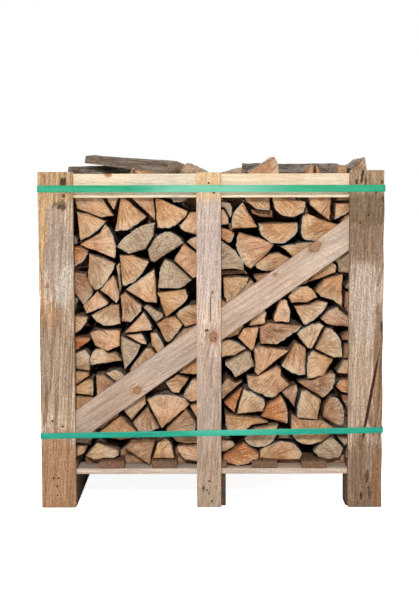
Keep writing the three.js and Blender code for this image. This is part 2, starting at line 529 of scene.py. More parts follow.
def raise_bump(t: Tree, shader: bpy.types.Node, height: bpy.types.NodeSocket, depth: float) -> None:
    """Feeds a height, 0 to 1 over the depth in metres, to the shader's normal."""
    bump = t.add("Bump")
    bump.inputs["Distance"].default_value = depth
    bump.inputs["Strength"].default_value = 1.0
    t.feed(bump.inputs["Height"], height)
    t.feed(shader.inputs["Normal"], bump.outputs[0])


@dataclass(frozen=True)
class Knot:
    """A knot on a board's face, placed on the crate, in metres: x or y along the side, then z."""

    side: float
    height: float
    radius: float


@dataclass(frozen=True)
class Patch:
    """A patch of another colour on a board's face, placed on the crate, in metres, with its half sizes.

    The half sizes run along and across the board, and the lean is how far across it drifts for each
    metre along. A strength of 1 hides the wood.
    """

    side: float
    height: float
    half_along: float
    half_across: float
    colour: Colour
    strength: float = 0.6
    lean: float = 0.0
    ragged: float = 0.6


@dataclass(frozen=True)
class SawnFinish:
    """Rough sawn softwood: its fresh, late-wood and weathered colours, and how strong each effect is.

    The spacing is the width of a year ring in metres; the other values are shares, 0 to 1 or a bit over.
    """

    fresh: Colour
    late: Colour
    grey: Colour
    weathering: float = 0.5
    rings: float = 0.5
    spacing: float = 0.0045
    dirt: float = 0.5
    contrast: float = 1.0
    pore: Colour = (0.3, 0.2, 0.13)
    grime: Colour = (0.26, 0.2, 0.15)
    knot: Colour = (0.6, 0.39, 0.23)
    knot_rim: Colour = (0.32, 0.2, 0.13)
    knot_stain: Colour = (0.66, 0.46, 0.29)

    def dress(
        self,
        effects: SharedEffects,
        name: str,
        knots: Sequence[tuple[float, float, float]] = (),
        patches: Sequence[tuple[float, float, Patch]] = (),
    ) -> bpy.types.Material:
        """Builds the material.

        Args:
            effects: The shared node groups.
            name: The material's name.
            knots: Each knot's place along and across the board and its radius, in metres.
            patches: Each patch's place along and across the board, in metres, and the patch.

        Returns:
            The material.
        """
        material, t, shader = new_material(name, 0.82)
        grain = t.field("grain").outputs["Vector"]
        place = t.field("place").outputs["Vector"]
        core, rim, halo, push = 0.0, 0.0, 0.0, 0.0
        for along, across, radius in knots:
            knot = t.group(effects.knot, Place=place, Along=along, Across=across, Radius=radius)
            core = t.math("MAXIMUM", core, knot["Core"])
            rim = t.math("MAXIMUM", rim, knot["Rim"])
            halo = t.math("MAXIMUM", halo, knot["Halo"])
            push = t.plus(push, knot["Push"])
        bent = t.add("VectorMath", grain, t.combine(0.0, push, 0.0), operation="ADD").outputs[0]
        rings = t.group(effects.rings, Grain=bent, Spacing=self.spacing, Wander=0.016)
        streaks = t.group(effects.streaks, Grain=bent)
        stain = t.group(effects.stain, Grain=grain, Amount=self.weathering)
        late = t.times(rings["Late"], self.rings)
        colour = t.mix(late, linear(self.fresh), linear(self.late))
        streak = t.ease(streaks["Streak"], 0.34, 0.66)
        dark, light = 1 - 0.5 * self.contrast, 1 + 0.16 * self.contrast
        deep = (dark, dark * 0.93, dark * 0.87, 1)
        colour = t.mix(1.0, colour, t.mix(streak, deep, (light, light, light, 1)), "MULTIPLY")
        grey = t.mix(streak, linear(tuple(c * 0.7 for c in self.grey)), linear(self.grey))
        colour = t.mix(t.times(stain["Mask"], self.weathering), colour, grey)
        for along, across, patch in patches:
            mask = t.group(
                effects.patch,
                Place=place,
                Along=along,
                Across=across,
                Length=patch.half_along,
                Width=patch.half_across,
                Lean=patch.lean,
                Ragged=patch.ragged,
            )["Mask"]
            shade = t.mix(streak, linear(tuple(c * 0.8 for c in patch.colour)), linear(patch.colour))
            colour = t.mix(t.times(mask, patch.strength), colour, shade)
        fuzz = t.mix(streaks["Mottle"], (dark, dark * 0.95, dark * 0.9, 1), (light, light, light, 1))
        colour = t.mix(0.75, colour, fuzz, "MULTIPLY")
        colour = t.mix(t.times(streaks["Pores"], 0.4 * self.contrast), colour, linear(self.pore))
        colour = t.mix(t.times(stain["Speck"], self.dirt * 0.5), colour, linear(self.grime))
        arris = t.field("arris").outputs["Fac"]
        worn = t.ease(arris, 0.55, 1.0, 0.0, 0.35)
        colour = t.mix(worn, colour, linear(tuple(c * 0.62 for c in self.late)))
        if knots:
            colour = t.mix(t.times(halo, 0.45), colour, linear(self.knot_stain))
            colour = t.mix(core, colour, linear(self.knot))
            colour = t.mix(t.times(rim, 0.45), colour, linear(self.knot_rim))
        t.feed(shader.inputs["Base Color"], colour)
        along, across, _ = t.split(place)
        saw = t.math("SINE", t.times(t.math("MULTIPLY_ADD", across, 0.2, along), 1300.0))
        height = t.plus(t.times(streak, 0.6), t.times(saw, 0.06))
        height = t.minus(height, t.times(streaks["Pores"], 0.5))
        height = t.plus(height, t.times(streaks["Mottle"], 0.4))
        raise_bump(t, shader, t.plus(height, t.times(rings["Late"], 0.2)), 0.0009)
        return material


@dataclass(frozen=True)
class LogFinish:
    """The three faces of a split log: its sawn end, its split sides and its bark."""

    bark: Colour = (0.58, 0.53, 0.48)
    bark_dark: Colour = (0.3, 0.25, 0.21)
    bark_pale: Colour = (0.74, 0.69, 0.64)
    check: Colour = (0.2, 0.13, 0.08)
    weathered: Colour = (0.77, 0.69, 0.59)
    weathered_dark: Colour = (0.52, 0.43, 0.34)
    sapwood: Colour = (0.92, 0.82, 0.68)
    crust: Colour = (0.72, 0.66, 0.58)

    def end_grain(self, effects: SharedEffects) -> bpy.types.Material:
        """Sawn end: year rings and rays about the pith, drying checks, saw scratches, weathering, and painted
        shade along the outline.
        """
        material, t, shader = new_material("sawn_end", 0.8)
        grain = t.field("grain").outputs["Vector"]
        tone = t.field("tone").outputs["Color"]
        rim = t.field("rim").outputs["Fac"]
        edge = t.field("edge").outputs["Fac"]
        weather = t.field("weather").outputs["Fac"]
        along, across, through = t.split(grain)
        own = t.math("ROUND", along)
        rings = t.group(effects.rings, Grain=grain, Spacing=0.0042, Wander=0.006)
        angle = t.math("ARCTAN2", through, across)
        radius = rings["Radius"]
        rays = t.noise(t.combine(t.times(angle, 17.0), t.times(radius, 22.0), own), 1.0, 3.0, 0.6)
        thin = t.noise(t.combine(t.times(angle, 52.0), t.times(radius, 60.0), own), 1.0, 2.0)
        patch = t.combine(own, across, through)
        cloud = t.noise(patch, 19.0, 4.0, 0.62)
        small = t.noise(patch, 230.0, 4.0, 0.75)
        turn = t.times(own, 2.4)
        sine, cosine = t.math("SINE", turn), t.math("COSINE", turn)
        cut_across = t.plus(t.times(across, cosine), t.times(through, sine))
        cut_along = t.minus(t.times(through, cosine), t.times(across, sine))
        marks = t.combine(t.times(cut_across, 300.0), t.times(cut_along, 60.0), own)
        scratches = t.noise(marks, 1.0, 3.0, 0.6)
        deep = t.mix(1.0, tone, (0.47, 0.34, 0.25, 1), "MULTIPLY")
        pale = t.mix(0.6, tone, linear(self.sapwood))
        colour = t.mix(t.ease(cloud, 0.38, 0.6), deep, tone)
        blotch = t.noise(patch, 12.0, 2.0)
        colour = t.mix(t.ease(blotch, 0.48, 0.62, 0.0, 0.5), colour, pale)
        colour = t.mix(t.ease(blotch, 0.47, 0.36, 0.0, 0.6), colour, deep)
        heart = t.times(t.ease(rim, 0.012, 0.07), t.ease(cloud, 0.35, 0.65, 0.2, 0.75))
        colour = t.mix(heart, colour, t.mix(1.0, tone, (0.9, 0.66, 0.4, 1), "MULTIPLY"))
        colour = t.mix(t.ease(rim, 0.035, 0.003, 0.0, 0.5), colour, pale)
        colour = t.mix(t.ease(rays, 0.52, 0.64, 0.0, 0.75), colour, pale)
        colour = t.mix(t.ease(rays, 0.48, 0.38, 0.0, 0.75), colour, deep)
        colour = t.mix(t.times(rings["Late"], 0.32), colour, deep)
        colour = t.mix(t.ease(thin, 0.46, 0.34, 0.0, 0.5), colour, deep)
        weathered = t.mix(t.ease(scratches, 0.36, 0.6), linear(self.weathered_dark), linear(self.weathered))
        weathered = t.mix(0.45, weathered, colour)
        worn = t.math("MULTIPLY_ADD", weather, 0.45, cloud)
        colour = t.mix(t.times(t.ease(worn, 0.55, 0.85), t.ease(weather, 0.0, 1.0)), colour, weathered)
        colour = t.mix(t.ease(scratches, 0.44, 0.32, 0.0, 0.3), colour, linear(self.check))
        colour = t.mix(t.ease(scratches, 0.56, 0.7, 0.0, 0.3), colour, linear(self.sapwood))
        colour = t.mix(t.ease(small, 0.48, 0.38, 0.0, 0.6), colour, deep)
        colour = t.mix(t.ease(small, 0.54, 0.64, 0.0, 0.45), colour, linear(self.sapwood))
        smudge = t.ease(t.noise(patch, 42.0, 3.0, 0.6), 0.53, 0.7, 0.0, 0.55)
        colour = t.mix(smudge, colour, linear(self.weathered_dark))
        crack = t.group(effects.checks, Grain=grain, Own=own)["Crack"]
        colour = t.mix(t.times(crack, 0.6), colour, linear(self.check))
        fray = t.times(t.minus(small, 0.5), 0.005)
        ragged = t.plus(edge, fray)
        # Painted shade: the end darkens, in clouds, within 9 mm of its outline, and takes a dark line within
        # 3 mm of it, where the gaps between the logs would shade it.
        colour = t.mix(t.times(t.ease(edge, 0.009, 0.0), t.ease(cloud, 0.6, 0.4, 0.1, 0.5)), colour, deep)
        colour = t.mix(t.ease(ragged, 0.003, 0.0, 0.0, 0.4), colour, linear(self.check))
        skin = t.ease(t.plus(rim, fray), 0.0048, 0.003)
        crust = t.mix(t.ease(small, 0.38, 0.52), linear(self.bark), linear(self.crust))
        colour = t.mix(skin, colour, crust)
        t.feed(shader.inputs["Base Color"], colour)
        height = t.plus(t.times(scratches, 0.5), t.times(small, 0.4))
        height = t.plus(height, t.times(rays, 0.4))
        raise_bump(t, shader, t.minus(height, crack), 0.0016)
        return material

    def split_side(self, effects: SharedEffects) -> bpy.types.Material:
        """Split side: long torn fibres of the log's own tone, greyed and dirtied in streaks."""
        material, t, shader = new_material("split_side", 0.85)
        grain = t.field("grain").outputs["Vector"]
        tone = t.field("tone").outputs["Color"]
        weather = t.field("weather").outputs["Fac"]
        streaks = t.group(effects.streaks, Grain=grain)
        stain = t.group(effects.stain, Grain=grain, Amount=0.5)
        streak = t.ease(streaks["Streak"], 0.32, 0.68)
        pale = t.mix(0.35, tone, linear((0.84, 0.74, 0.62)))
        dark = t.mix(1.0, tone, (0.5, 0.42, 0.36, 1), "MULTIPLY")
        colour = t.mix(streak, dark, pale)
        greyed = t.mix(streak, linear((0.33, 0.28, 0.24)), linear((0.62, 0.56, 0.5)))
        share = t.plus(t.times(weather, 0.8), t.times(stain["Mask"], 0.25))
        colour = t.mix(share, colour, greyed)
        mottle = t.mix(streaks["Mottle"], (0.55, 0.5, 0.46, 1), (1.15, 1.15, 1.15, 1))
        colour = t.mix(0.6, colour, mottle, "MULTIPLY")
        colour = t.mix(t.times(streaks["Pores"], 0.5), colour, linear(self.check))
        t.feed(shader.inputs["Base Color"], colour)
        height = t.minus(streak, t.times(streaks["Pores"], 0.5))
        raise_bump(t, shader, height, 0.0022)
        return material

    def bark_side(self) -> bpy.types.Material:
        """Bark: grey plates between furrows that run along the log, with pale lichen and dark cracks."""
        material, t, shader = new_material("rough_bark", 0.9)
        grain = t.field("grain").outputs["Vector"]
        along, across, through = t.split(grain)
        drawn = t.combine(t.times(along, 0.3), across, through)
        plates = t.noise(drawn, 95.0, 5.0, 0.66)
        broad = t.noise(grain, 16.0, 3.0, 0.6)
        fine = t.noise(grain, 320.0, 3.0, 0.7)
        colour = t.mix(t.ease(plates, 0.36, 0.6), linear(self.bark_dark), linear(self.bark))
        colour = t.mix(t.ease(broad, 0.5, 0.7, 0.0, 0.55), colour, linear(self.bark_pale))
        warm = t.ease(broad, 0.46, 0.3, 0.0, 0.55)
        colour = t.mix(warm, colour, linear((0.36, 0.25, 0.17)))
        colour = t.mix(t.ease(fine, 0.46, 0.3, 0.0, 0.6), colour, linear(self.bark_dark))
        t.feed(shader.inputs["Base Color"], colour)
        raise_bump(t, shader, t.plus(plates, t.times(fine, 0.3)), 0.005)
        return material

    def dress(self, effects: SharedEffects) -> list[bpy.types.Material]:
        """The end, split and bark materials, in the order of LogFace."""
        return [self.end_grain(effects), self.split_side(effects), self.bark_side()]


@dataclass(frozen=True)
class StrapFinish:
    """Extruded strapping: a clear colour with fine ribs, a satin gloss, and a paler stretch that is painted
    sheen, standing in for the reflection of the light.
    """

    colour: Colour
    shade: Colour
    painted_sheen: Colour
    sheen_start: float
    sheen_end: float
    roughness: float = 0.32

    def dress(self, name: str) -> bpy.types.Material:
        """Builds the strap's material."""
        material, t, shader = new_material(name, self.roughness)
        shader.inputs["Specular IOR Level"].default_value = 0.25
        place = t.field("place").outputs["Vector"]
        along, across, _ = t.split(place)
        drawn = t.combine(t.times(along, 7.0), t.times(across, 240.0), 0.0)
        cloud = t.noise(drawn, 1.0, 3.0, 0.6)
        colour = t.mix(t.ease(cloud, 0.35, 0.68), linear(self.shade), linear(self.colour))
        # Painted sheen: a paler stretch between the two given places along the strap stands in for the light
        # it reflects. It fades in and out over a third of its length at each end.
        length = self.sheen_end - self.sheen_start
        rise = t.ease(along, self.sheen_start, self.sheen_start + length / 3)
        fall = t.ease(along, self.sheen_end, self.sheen_end - length / 3)
        painted_sheen = t.times(t.times(rise, fall), t.ease(cloud, 0.2, 0.6, 0.55, 0.95))
        colour = t.mix(painted_sheen, colour, linear(self.painted_sheen))
        scuff = t.noise(t.combine(t.times(along, 30.0), t.times(across, 900.0), 2.0), 1.0, 2.0)
        colour = t.mix(t.ease(scuff, 0.62, 0.75, 0.0, 0.25), colour, (0.7, 0.9, 0.84, 1))
        t.feed(shader.inputs["Base Color"], colour)
        ribs = t.math("SINE", t.times(across, 2 * math.pi / 0.0016))
        raise_bump(t, shader, ribs, 0.00008)
        return material


# ---- boards ----


@dataclass(frozen=True)
class Frame:
    """A board's own directions: along its length, and out through its face; across follows from them."""

    along: tuple[float, float, float]
    face: tuple[float, float, float]

    @property
    def across(self) -> tuple[float, float, float]:
        """The direction across the board, so that rings seen from the low end run against the clock."""
        return tuple(np.cross(self.along, self.face))

    def matrix(self) -> np.ndarray:
        """Rows of the three directions: along, across, face."""
        return np.array([self.along, self.across, self.face], float)


@dataclass
class Board:
    """One sawn board: a rounded rectangle carried along its length, gently uneven, in a frame of its own."""

    name: str
    low: np.ndarray
    high: np.ndarray
    frame: Frame
    seed: int
    arris: float = 1.6 * MM
    wane: float = 0.0
    step: float = 24 * MM
    sawn_off: tuple[float, float] = (0.6 * MM, 0.4 * MM)
    wander: float = 0.35 * MM
    nicks: float = 0.5 * MM

    def centre(self) -> np.ndarray:
        """The middle of the board."""
        return (self.low + self.high) / 2

    def spans(self) -> np.ndarray:
        """Length, width and thickness."""
        return np.abs(self.frame.matrix() @ (self.high - self.low))

    def local(self, point: Sequence[float]) -> np.ndarray:
        """A point of the crate in the board's own directions, from its middle."""
        return self.frame.matrix() @ (np.array(point) - self.centre())

    def section(self, width: float, thickness: float) -> tuple[np.ndarray, np.ndarray]:
        """Rounded rectangle: four sides in even steps, joined by quarter circles at the arrises.

        Args:
            width: Size across the board.
            thickness: Size through the board.

        Returns:
            The outline's points across and through, and 1 at the arrises and 0 elsewhere.
        """
        half = np.array([width, thickness]) / 2 - self.arris
        signs = np.array([[-1, -1], [1, -1], [1, 1], [-1, 1]])
        points, edge = [], []
        for corner in range(4):
            start, finish = signs[corner] * half, signs[(corner + 1) % 4] * half
            turn = math.radians(90 * (corner - 1))
            outward = np.array([math.cos(turn), math.sin(turn)]) * self.arris
            count = max(2, round(np.linalg.norm(finish - start) / (9 * MM)))
            share = np.linspace(0, 1, count + 1)[:, None]
            points.append(start + (finish - start) * share + outward)
            edge.append(np.zeros(count + 1))
            bend = turn + math.radians(45)
            points.append((finish + self.arris * np.array([math.cos(bend), math.sin(bend)]))[None])
            edge.append(np.ones(1))
        return np.concatenate(points), np.concatenate(edge)

    def surface(self) -> Surface:
        """Carries the section along the board and closes both ends.

        The section keeps its shape and wanders by a fraction of a millimetre; a waney edge is
        eaten back by a slow ripple; sloped boards end on upright or level cuts.
        """
        length, width, thickness = self.spans()
        draw = np.random.default_rng(self.seed)
        outline, arris = self.section(width - self.sawn_off[0], thickness - self.sawn_off[1])
        count = max(6, round(length / self.step))
        share = np.linspace(0, 1, count + 1)
        shrink = np.array([0.35, 0.7, 0.93, 1.0])
        inset = np.concatenate([shrink, np.ones(count - 1), shrink[::-1]])
        share = np.concatenate([np.zeros(len(shrink)), share[1:-1], np.ones(len(shrink))])
        nib = np.array([0.0, 0.0, 0.0, 1.2 * MM])
        pull = np.concatenate([nib, np.zeros(count - 1), -nib[::-1]])
        across = outline[None, :, 0] * inset[:, None]
        through = outline[None, :, 1] * inset[:, None]
        along = (share[:, None] - 0.5) * length + pull[:, None] + np.zeros_like(across)
        own = np.stack([along, across, through], axis=-1)
        flat = own.reshape(-1, 3)
        wander = ripple(flat * [1, 3, 3], 0.3, self.seed) * self.wander
        nicks = ripple(flat * [1, 0.2, 0.2], 0.035, self.seed + 5) * self.nicks * np.tile(arris, len(inset))
        size = np.hypot(flat[:, 1], flat[:, 2]) + 1e-9
        outward = np.stack([np.zeros(len(flat)), flat[:, 1] / size, flat[:, 2] / size], -1)
        flat = flat - outward * np.abs(wander + nicks)[:, None]
        if self.wane:
            eaten = np.clip(ripple(flat[:, :1], 0.24, self.seed + 9) * 0.6 + 0.4, 0, None) * self.wane
            near = np.clip((flat[:, 1] - 0.3 * width) / (0.2 * width), 0, 1)
            flat[:, 1] -= eaten * near
        poles = np.array([[-length / 2, 0, 0], [length / 2, 0, 0]])
        rings = flat.reshape(len(inset), -1, 3)
        made = closed_sweep(rings, *poles)
        pith = np.array([13 * self.seed % 17, draw.uniform(-0.35, 0.35) * width, -draw.uniform(0.02, 0.06)])
        slope = draw.uniform(0.02, 0.06, 2) * draw.choice([-1, 1], 2)
        made.points = self.settle(made.points)
        place = (made.points - self.centre()) @ self.frame.matrix().T
        made.fields = {
            "grain": place + [pith[0], -pith[1], -pith[2]] + np.outer(place[:, 0], [0, slope[0], slope[1]]),
            "place": place,
            "arris": np.concatenate([np.tile(arris, len(inset)), [0, 0]]),
        }
        return made

    def settle(self, own: np.ndarray) -> np.ndarray:
        """Carries the board's own points to the crate."""
        return own @ self.frame.matrix() + self.centre()


@dataclass
class Brace(Board):
    """A sloped board: its ends are cut upright and level, so each line along it has a length of its own."""

    rise: float = 0.709
    middle: float = 548 * MM
    width: float = 84 * MM
    reach: float = 0.4947
    floor_cut: float = 222 * MM
    top_cut: float = 956 * MM

    def centre(self) -> np.ndarray:
        """The middle of the board's centre line."""
        outward = np.array(self.frame.face)
        return outward * (outward @ (self.low + self.high) / 2) + np.array([0, 0, self.middle])

    def spans(self) -> np.ndarray:
        """Length along the slope, width across it, and thickness."""
        thickness = float(np.abs(np.array(self.frame.face) @ (self.high - self.low)))
        return np.array([2 * self.reach * math.hypot(1, self.rise), self.width, thickness])

    def settle(self, own: np.ndarray) -> np.ndarray:
        """Shears the lengths so that the ends meet the cuts, then carries the points to the crate's side."""
        length = self.spans()[0]
        stretch = math.hypot(1, self.rise)
        share = own[:, 0] / length + 0.5
        lift = -own[:, 1] * stretch
        start = np.maximum(-self.reach, (self.floor_cut - self.middle - lift) / self.rise)
        stop = np.minimum(self.reach, (self.top_cut - self.middle - lift) / self.rise)
        side = start + share * (stop - start)
        height = self.middle + self.rise * side + lift
        outward = np.array(self.frame.face)
        run = np.cross(outward, [0, 0, -1])
        out = self.centre() @ outward + own[:, 2]
        return np.outer(side, run) + np.outer(out, outward) + np.outer(height, [0, 0, 1])


# ---- the crate ----


class Side(Enum):
    """A side of the crate: the quarter turns that carry the front to it."""

    FRONT = 0
    RIGHT = 1
    BACK = 2
    LEFT = 3

    def turned(self, vector: Sequence[float]) -> tuple[float, float, float]:
        """Carries a direction of the front side to this side."""
        angle = math.radians(90 * self.value)
        x, y, z = vector
        cosine, sine = round(math.cos(angle)), round(math.sin(angle))
        return (cosine * x - sine * y, sine * x + cosine * y, z)


POST_TAN = SawnFinish(
    (0.93, 0.81, 0.68), (0.66, 0.49, 0.35), (0.81, 0.73, 0.65), 0.55, 1.0, 0.008, contrast=1.1
)
POST_PINK = SawnFinish(
    (0.91, 0.82, 0.75), (0.79, 0.66, 0.56), (0.83, 0.75, 0.7), 0.5, 0.6, 0.007, contrast=0.75
)
POST_GREY = SawnFinish(
    (0.88, 0.77, 0.66), (0.58, 0.44, 0.33), (0.76, 0.68, 0.6), 0.55, 1.0, 0.008, contrast=1.1
)
RAIL_PALE = SawnFinish(
    (0.99, 0.92, 0.81), (0.93, 0.79, 0.61), (0.93, 0.88, 0.8), 0.25, 0.4, contrast=0.25
)
BRACE_PINK = SawnFinish(
    (0.84, 0.74, 0.66), (0.75, 0.63, 0.54), (0.79, 0.72, 0.67), 0.5, 0.4, contrast=0.5
)
BASE_PALE = SawnFinish(
    (0.92, 0.84, 0.77), (0.8, 0.69, 0.6), (0.86, 0.8, 0.75), 0.55, 0.4, contrast=0.5
)
BASE_DARK = SawnFinish((0.45, 0.35, 0.26), (0.33, 0.23, 0.16), (0.38, 0.32, 0.26), 0.6, 0.5)
SLAT_BROWN = SawnFinish((0.6, 0.45, 0.34), (0.46, 0.32, 0.22), (0.48, 0.41, 0.35), 0.5, 0.5)

OCHRE = (0.86, 0.67, 0.43)
PEACH = (1.0, 0.84, 0.64)
RUST = (0.76, 0.53, 0.34)
UMBER = (0.57, 0.44, 0.33)
OLIVE = (0.5, 0.41, 0.3)
LILAC = (0.75, 0.66, 0.6)
CHALK = (0.9, 0.83, 0.76)
SOOT = (0.2, 0.14, 0.1)

FRONT_KNOTS = {
    "front_post_left": (Knot(-0.5, 0.69, 0.004),),
    "front_post_centre": (Knot(0.007, 0.532, 0.0125),),
    "front_post_right": (Knot(0.455, 0.9, 0.004),),
    "front_brace": (Knot(0.317, 0.807, 0.015), Knot(-0.23, 0.364, 0.01), Knot(0.195, 0.722, 0.0045)),
    "front_rail": (Knot(-0.314, 1.029, 0.005),),
}
FRONT_PATCHES = {
    "front_post_left": (
        Patch(-0.476, 1.0, 0.07, 0.09, OCHRE, 0.6),
        Patch(-0.512, 0.85, 0.12, 0.02, OCHRE, 0.65),
        Patch(-0.487, 0.9, 0.04, 0.02, LILAC, 0.6, 0.0, 0.9),
        Patch(-0.466, 0.76, 0.15, 0.05, LILAC, 0.75),
        Patch(-0.448, 0.69, 0.075, 0.028, CHALK, 0.85, 0.15, 0.5),
        Patch(-0.48, 0.46, 0.17, 0.07, UMBER, 0.35),
        Patch(-0.476, 0.1, 0.15, 0.09, RUST, 0.7),
        Patch(-0.488, 0.6, 0.05, 0.03, RUST, 0.45, 0.0, 0.9),
        Patch(-0.456, 0.935, 0.016, 0.026, OLIVE, 0.75, 0.0, 1.2),
        Patch(-0.452, 0.93, 0.009, 0.014, SOOT, 0.6, 0.0, 1.4),
        Patch(-0.449, 1.004, 0.016, 0.012, SOOT, 0.9, 0.0, 1.0),
        Patch(-0.447, 0.964, 0.006, 0.006, SOOT, 0.8, 0.0, 1.0),
        Patch(-0.505, 1.015, 0.02, 0.004, UMBER, 0.6),
    ),
    "front_post_centre": (
        Patch(-0.008, 1.01, 0.05, 0.06, PEACH, 0.95),
        Patch(-0.008, 0.958, 0.016, 0.06, PEACH, 0.6),
        Patch(-0.008, 0.8, 0.16, 0.06, (0.87, 0.79, 0.76), 0.55),
        Patch(-0.008, 0.3, 0.2, 0.07, (0.73, 0.63, 0.55), 0.55),
        Patch(-0.008, 0.08, 0.12, 0.07, (0.74, 0.62, 0.5), 0.55),
        Patch(-0.003, 0.62, 0.05, 0.002, (0.35, 0.3, 0.29), 0.8, 0.0, 0.3),
        Patch(0.003, 0.669, 0.007, 0.005, (0.42, 0.36, 0.34), 0.7),
        Patch(-0.018, 0.552, 0.005, 0.004, SOOT, 0.8, 0.0, 0.9),
        Patch(0.026, 0.49, 0.006, 0.006, CHALK, 0.7),
        Patch(-0.03, 0.51, 0.006, 0.005, RUST, 0.6),
        Patch(-0.026, 0.058, 0.012, 0.005, SOOT, 0.5, 0.0, 1.3),
        Patch(-0.01, 0.045, 0.006, 0.003, SOOT, 0.6, 0.0, 1.2),
    ),
    "front_post_right": (
        Patch(0.474, 1.0, 0.06, 0.08, (0.74, 0.6, 0.43), 0.6),
        Patch(0.474, 0.92, 0.055, 0.09, OLIVE, 0.75),
        Patch(0.474, 0.83, 0.09, 0.07, UMBER, 0.7),
        Patch(0.468, 0.63, 0.14, 0.05, (0.88, 0.79, 0.72), 0.75),
        Patch(0.462, 0.4, 0.14, 0.034, (0.84, 0.72, 0.61), 0.65),
        Patch(0.513, 0.42, 0.25, 0.018, (0.58, 0.43, 0.3), 0.75),
        Patch(0.474, 0.07, 0.16, 0.09, UMBER, 0.75),
        Patch(0.508, 0.08, 0.1, 0.01, (0.68, 0.44, 0.22), 0.6),
        Patch(0.458, 1.022, 0.024, 0.005, SOOT, 0.9, 0.12, 1.0),
        Patch(0.468, 1.005, 0.02, 0.004, SOOT, 0.8, -0.1, 1.0),
        Patch(0.44, 1.006, 0.008, 0.006, SOOT, 0.7, 0.0, 1.2),
        Patch(0.518, 1.004, 0.007, 0.005, SOOT, 0.7, 0.0, 1.0),
        Patch(0.4875, 0.338, 0.158, 0.0054, (0.3, 0.13, 0.09), 1.0, 0.179, 0.26),
        Patch(0.522, 0.56, 0.02, 0.005, SOOT, 0.75, 0.0, 1.2),
        Patch(0.52, 0.95, 0.012, 0.004, SOOT, 0.7, 0.0, 1.2),
        Patch(0.48, 0.1, 0.022, 0.006, SOOT, 0.75, 0.0, 1.3),
        Patch(0.463, 0.035, 0.014, 0.004, SOOT, 0.85, 0.0, 1.1),
        Patch(0.488, 0.055, 0.03, 0.004, SOOT, 0.6, 0.0, 1.3),
    ),
    "front_brace": (
        Patch(0.36, 0.79, 0.12, 0.05, CHALK, 0.5),
        Patch(-0.3, 0.31, 0.1, 0.05, (0.72, 0.6, 0.5), 0.5),
        Patch(0.1, 0.64, 0.06, 0.02, CHALK, 0.35),
    ),
    "front_rail": (
        Patch(-0.12, 1.0, 0.14, 0.05, (0.99, 0.94, 0.87), 0.5),
        Patch(-0.314, 1.027, 0.014, 0.008, (0.86, 0.61, 0.37), 0.75),
        Patch(0.2, 1.02, 0.1, 0.02, PEACH, 0.35),
    ),
}
WEATHERED_PATCHES = (OCHRE, RUST, UMBER, OLIVE, LILAC, CHALK)


@dataclass
class CrateSides:
    """Posts, top rails and braces of the four sides."""

    effects: SharedEffects
    arris: float = 1.8 * MM
    wane: float = 2.5 * MM

    def board(self, node: str, side: Side, upright: bool, seed: int) -> Board:
        """The board that stands for a straight CAD node."""
        low, high = (np.array(corner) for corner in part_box(node))
        along = (0.0, 0.0, 1.0) if upright else side.turned((1, 0, 0))
        wane = self.wane if node == "front_post_right" else 0.0
        return Board(node, low, high, Frame(along, side.turned((0, -1, 0))), seed, self.arris, wane)

    def brace(self, node: str, side: Side, seed: int) -> Brace:
        """The sloped board that stands for a brace."""
        low, high = (np.array(corner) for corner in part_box(node))
        run, outward = np.array(side.turned((1, 0, 0))), side.turned((0, -1, 0))
        reach = float(np.abs((high - low) @ run)) / 2
        slope = math.atan(Brace.rise)
        along = tuple(run * math.cos(slope) + np.array([0, 0, math.sin(slope)]))
        return Brace(node, low, high, Frame(along, outward), seed, self.arris, reach=reach)

    def finish_of(self, node: str) -> SawnFinish:
        """Which finish a board has."""
        if "rail" in node:
            return RAIL_PALE
        if "brace" in node:
            return BRACE_PINK
        if "centre" in node:
            return POST_PINK
        return POST_GREY if node.endswith("right") else POST_TAN

    def marks(self, board: Board) -> tuple[list, list]:
        """The knots and patches of a board: listed for the front, and drawn at random on the other sides.

        Args:
            board: The board.

        Returns:
            The knots and the patches, each with its place along and across the board.
        """
        if board.name.startswith("front"):
            depth = board.centre()[1]
            knots = FRONT_KNOTS.get(board.name, ())
            patches = FRONT_PATCHES.get(board.name, ())
            return (
                [(*board.local((knot.side, depth, knot.height))[:2], knot.radius) for knot in knots],
                [(*board.local((patch.side, depth, patch.height))[:2], patch) for patch in patches],
            )
        draw = np.random.default_rng(board.seed + 50)
        length, width, _ = board.spans()
        pale = "rail" in board.name or "brace" in board.name
        knots = [
            (
                draw.uniform(-0.46, 0.46) * length,
                draw.uniform(-0.36, 0.36) * width,
                draw.uniform(0.003, 0.009),
            )
            for _ in range(draw.integers(1, 4))
        ]
        patches = []
        for _ in range(4):
            colour = WEATHERED_PATCHES[draw.integers(4, 6) if pale else draw.integers(0, 6)]
            half_along, half_across = draw.uniform(0.05, 0.18), draw.uniform(0.3, 0.9) * width
            patch = Patch(0, 0, half_along, half_across, colour, draw.uniform(0.35, 0.65), ragged=0.8)
            patches.append((draw.uniform(-0.5, 0.5) * length, draw.uniform(-0.4, 0.4) * width, patch))
        return knots, patches

    def group_of(self, node: str) -> str:
        """The piece a board goes into: on the front its own, elsewhere its side's posts, or all of a kind."""
        side, kind = node.split("_")[:2]
        if side == "front":
            return node
        return f"{side}_posts" if kind == "post" else f"side_{kind}s"

    def build(self) -> None:
        """The front's boards as pieces of their own, and the other sides' boards in nailed groups."""
        seed = 11
        groups: dict[str, list[Board]] = {}
        for side in Side:
            name = side.name.lower()
            boards = []
            for place in ("left", "centre", "right"):
                boards.append(self.board(f"{name}_post_{place}", side, True, seed))
                seed += 3
            boards.append(self.board(f"{name}_rail", side, False, seed))
            boards.append(self.brace(f"{name}_brace", side, seed + 1))
            seed += 5
            for board in boards:
                groups.setdefault(self.group_of(board.name), []).append(board)
        for name, boards in groups.items():
            slot = next(kind for kind in ("post", "rail", "brace") if kind in boards[0].name) + "_wood"
            finishes = [
                self.finish_of(board.name).dress(self.effects, board.name + "_wood", *self.marks(board))
                for board in boards
            ]
            skins = [board.surface() for board in boards]
            for number, skin in enumerate(skins):
                skin.quad_finish[:] = number
                skin.tri_finish[:] = number
            joined(skins).piece(name, finishes, slot, [board.name for board in boards])


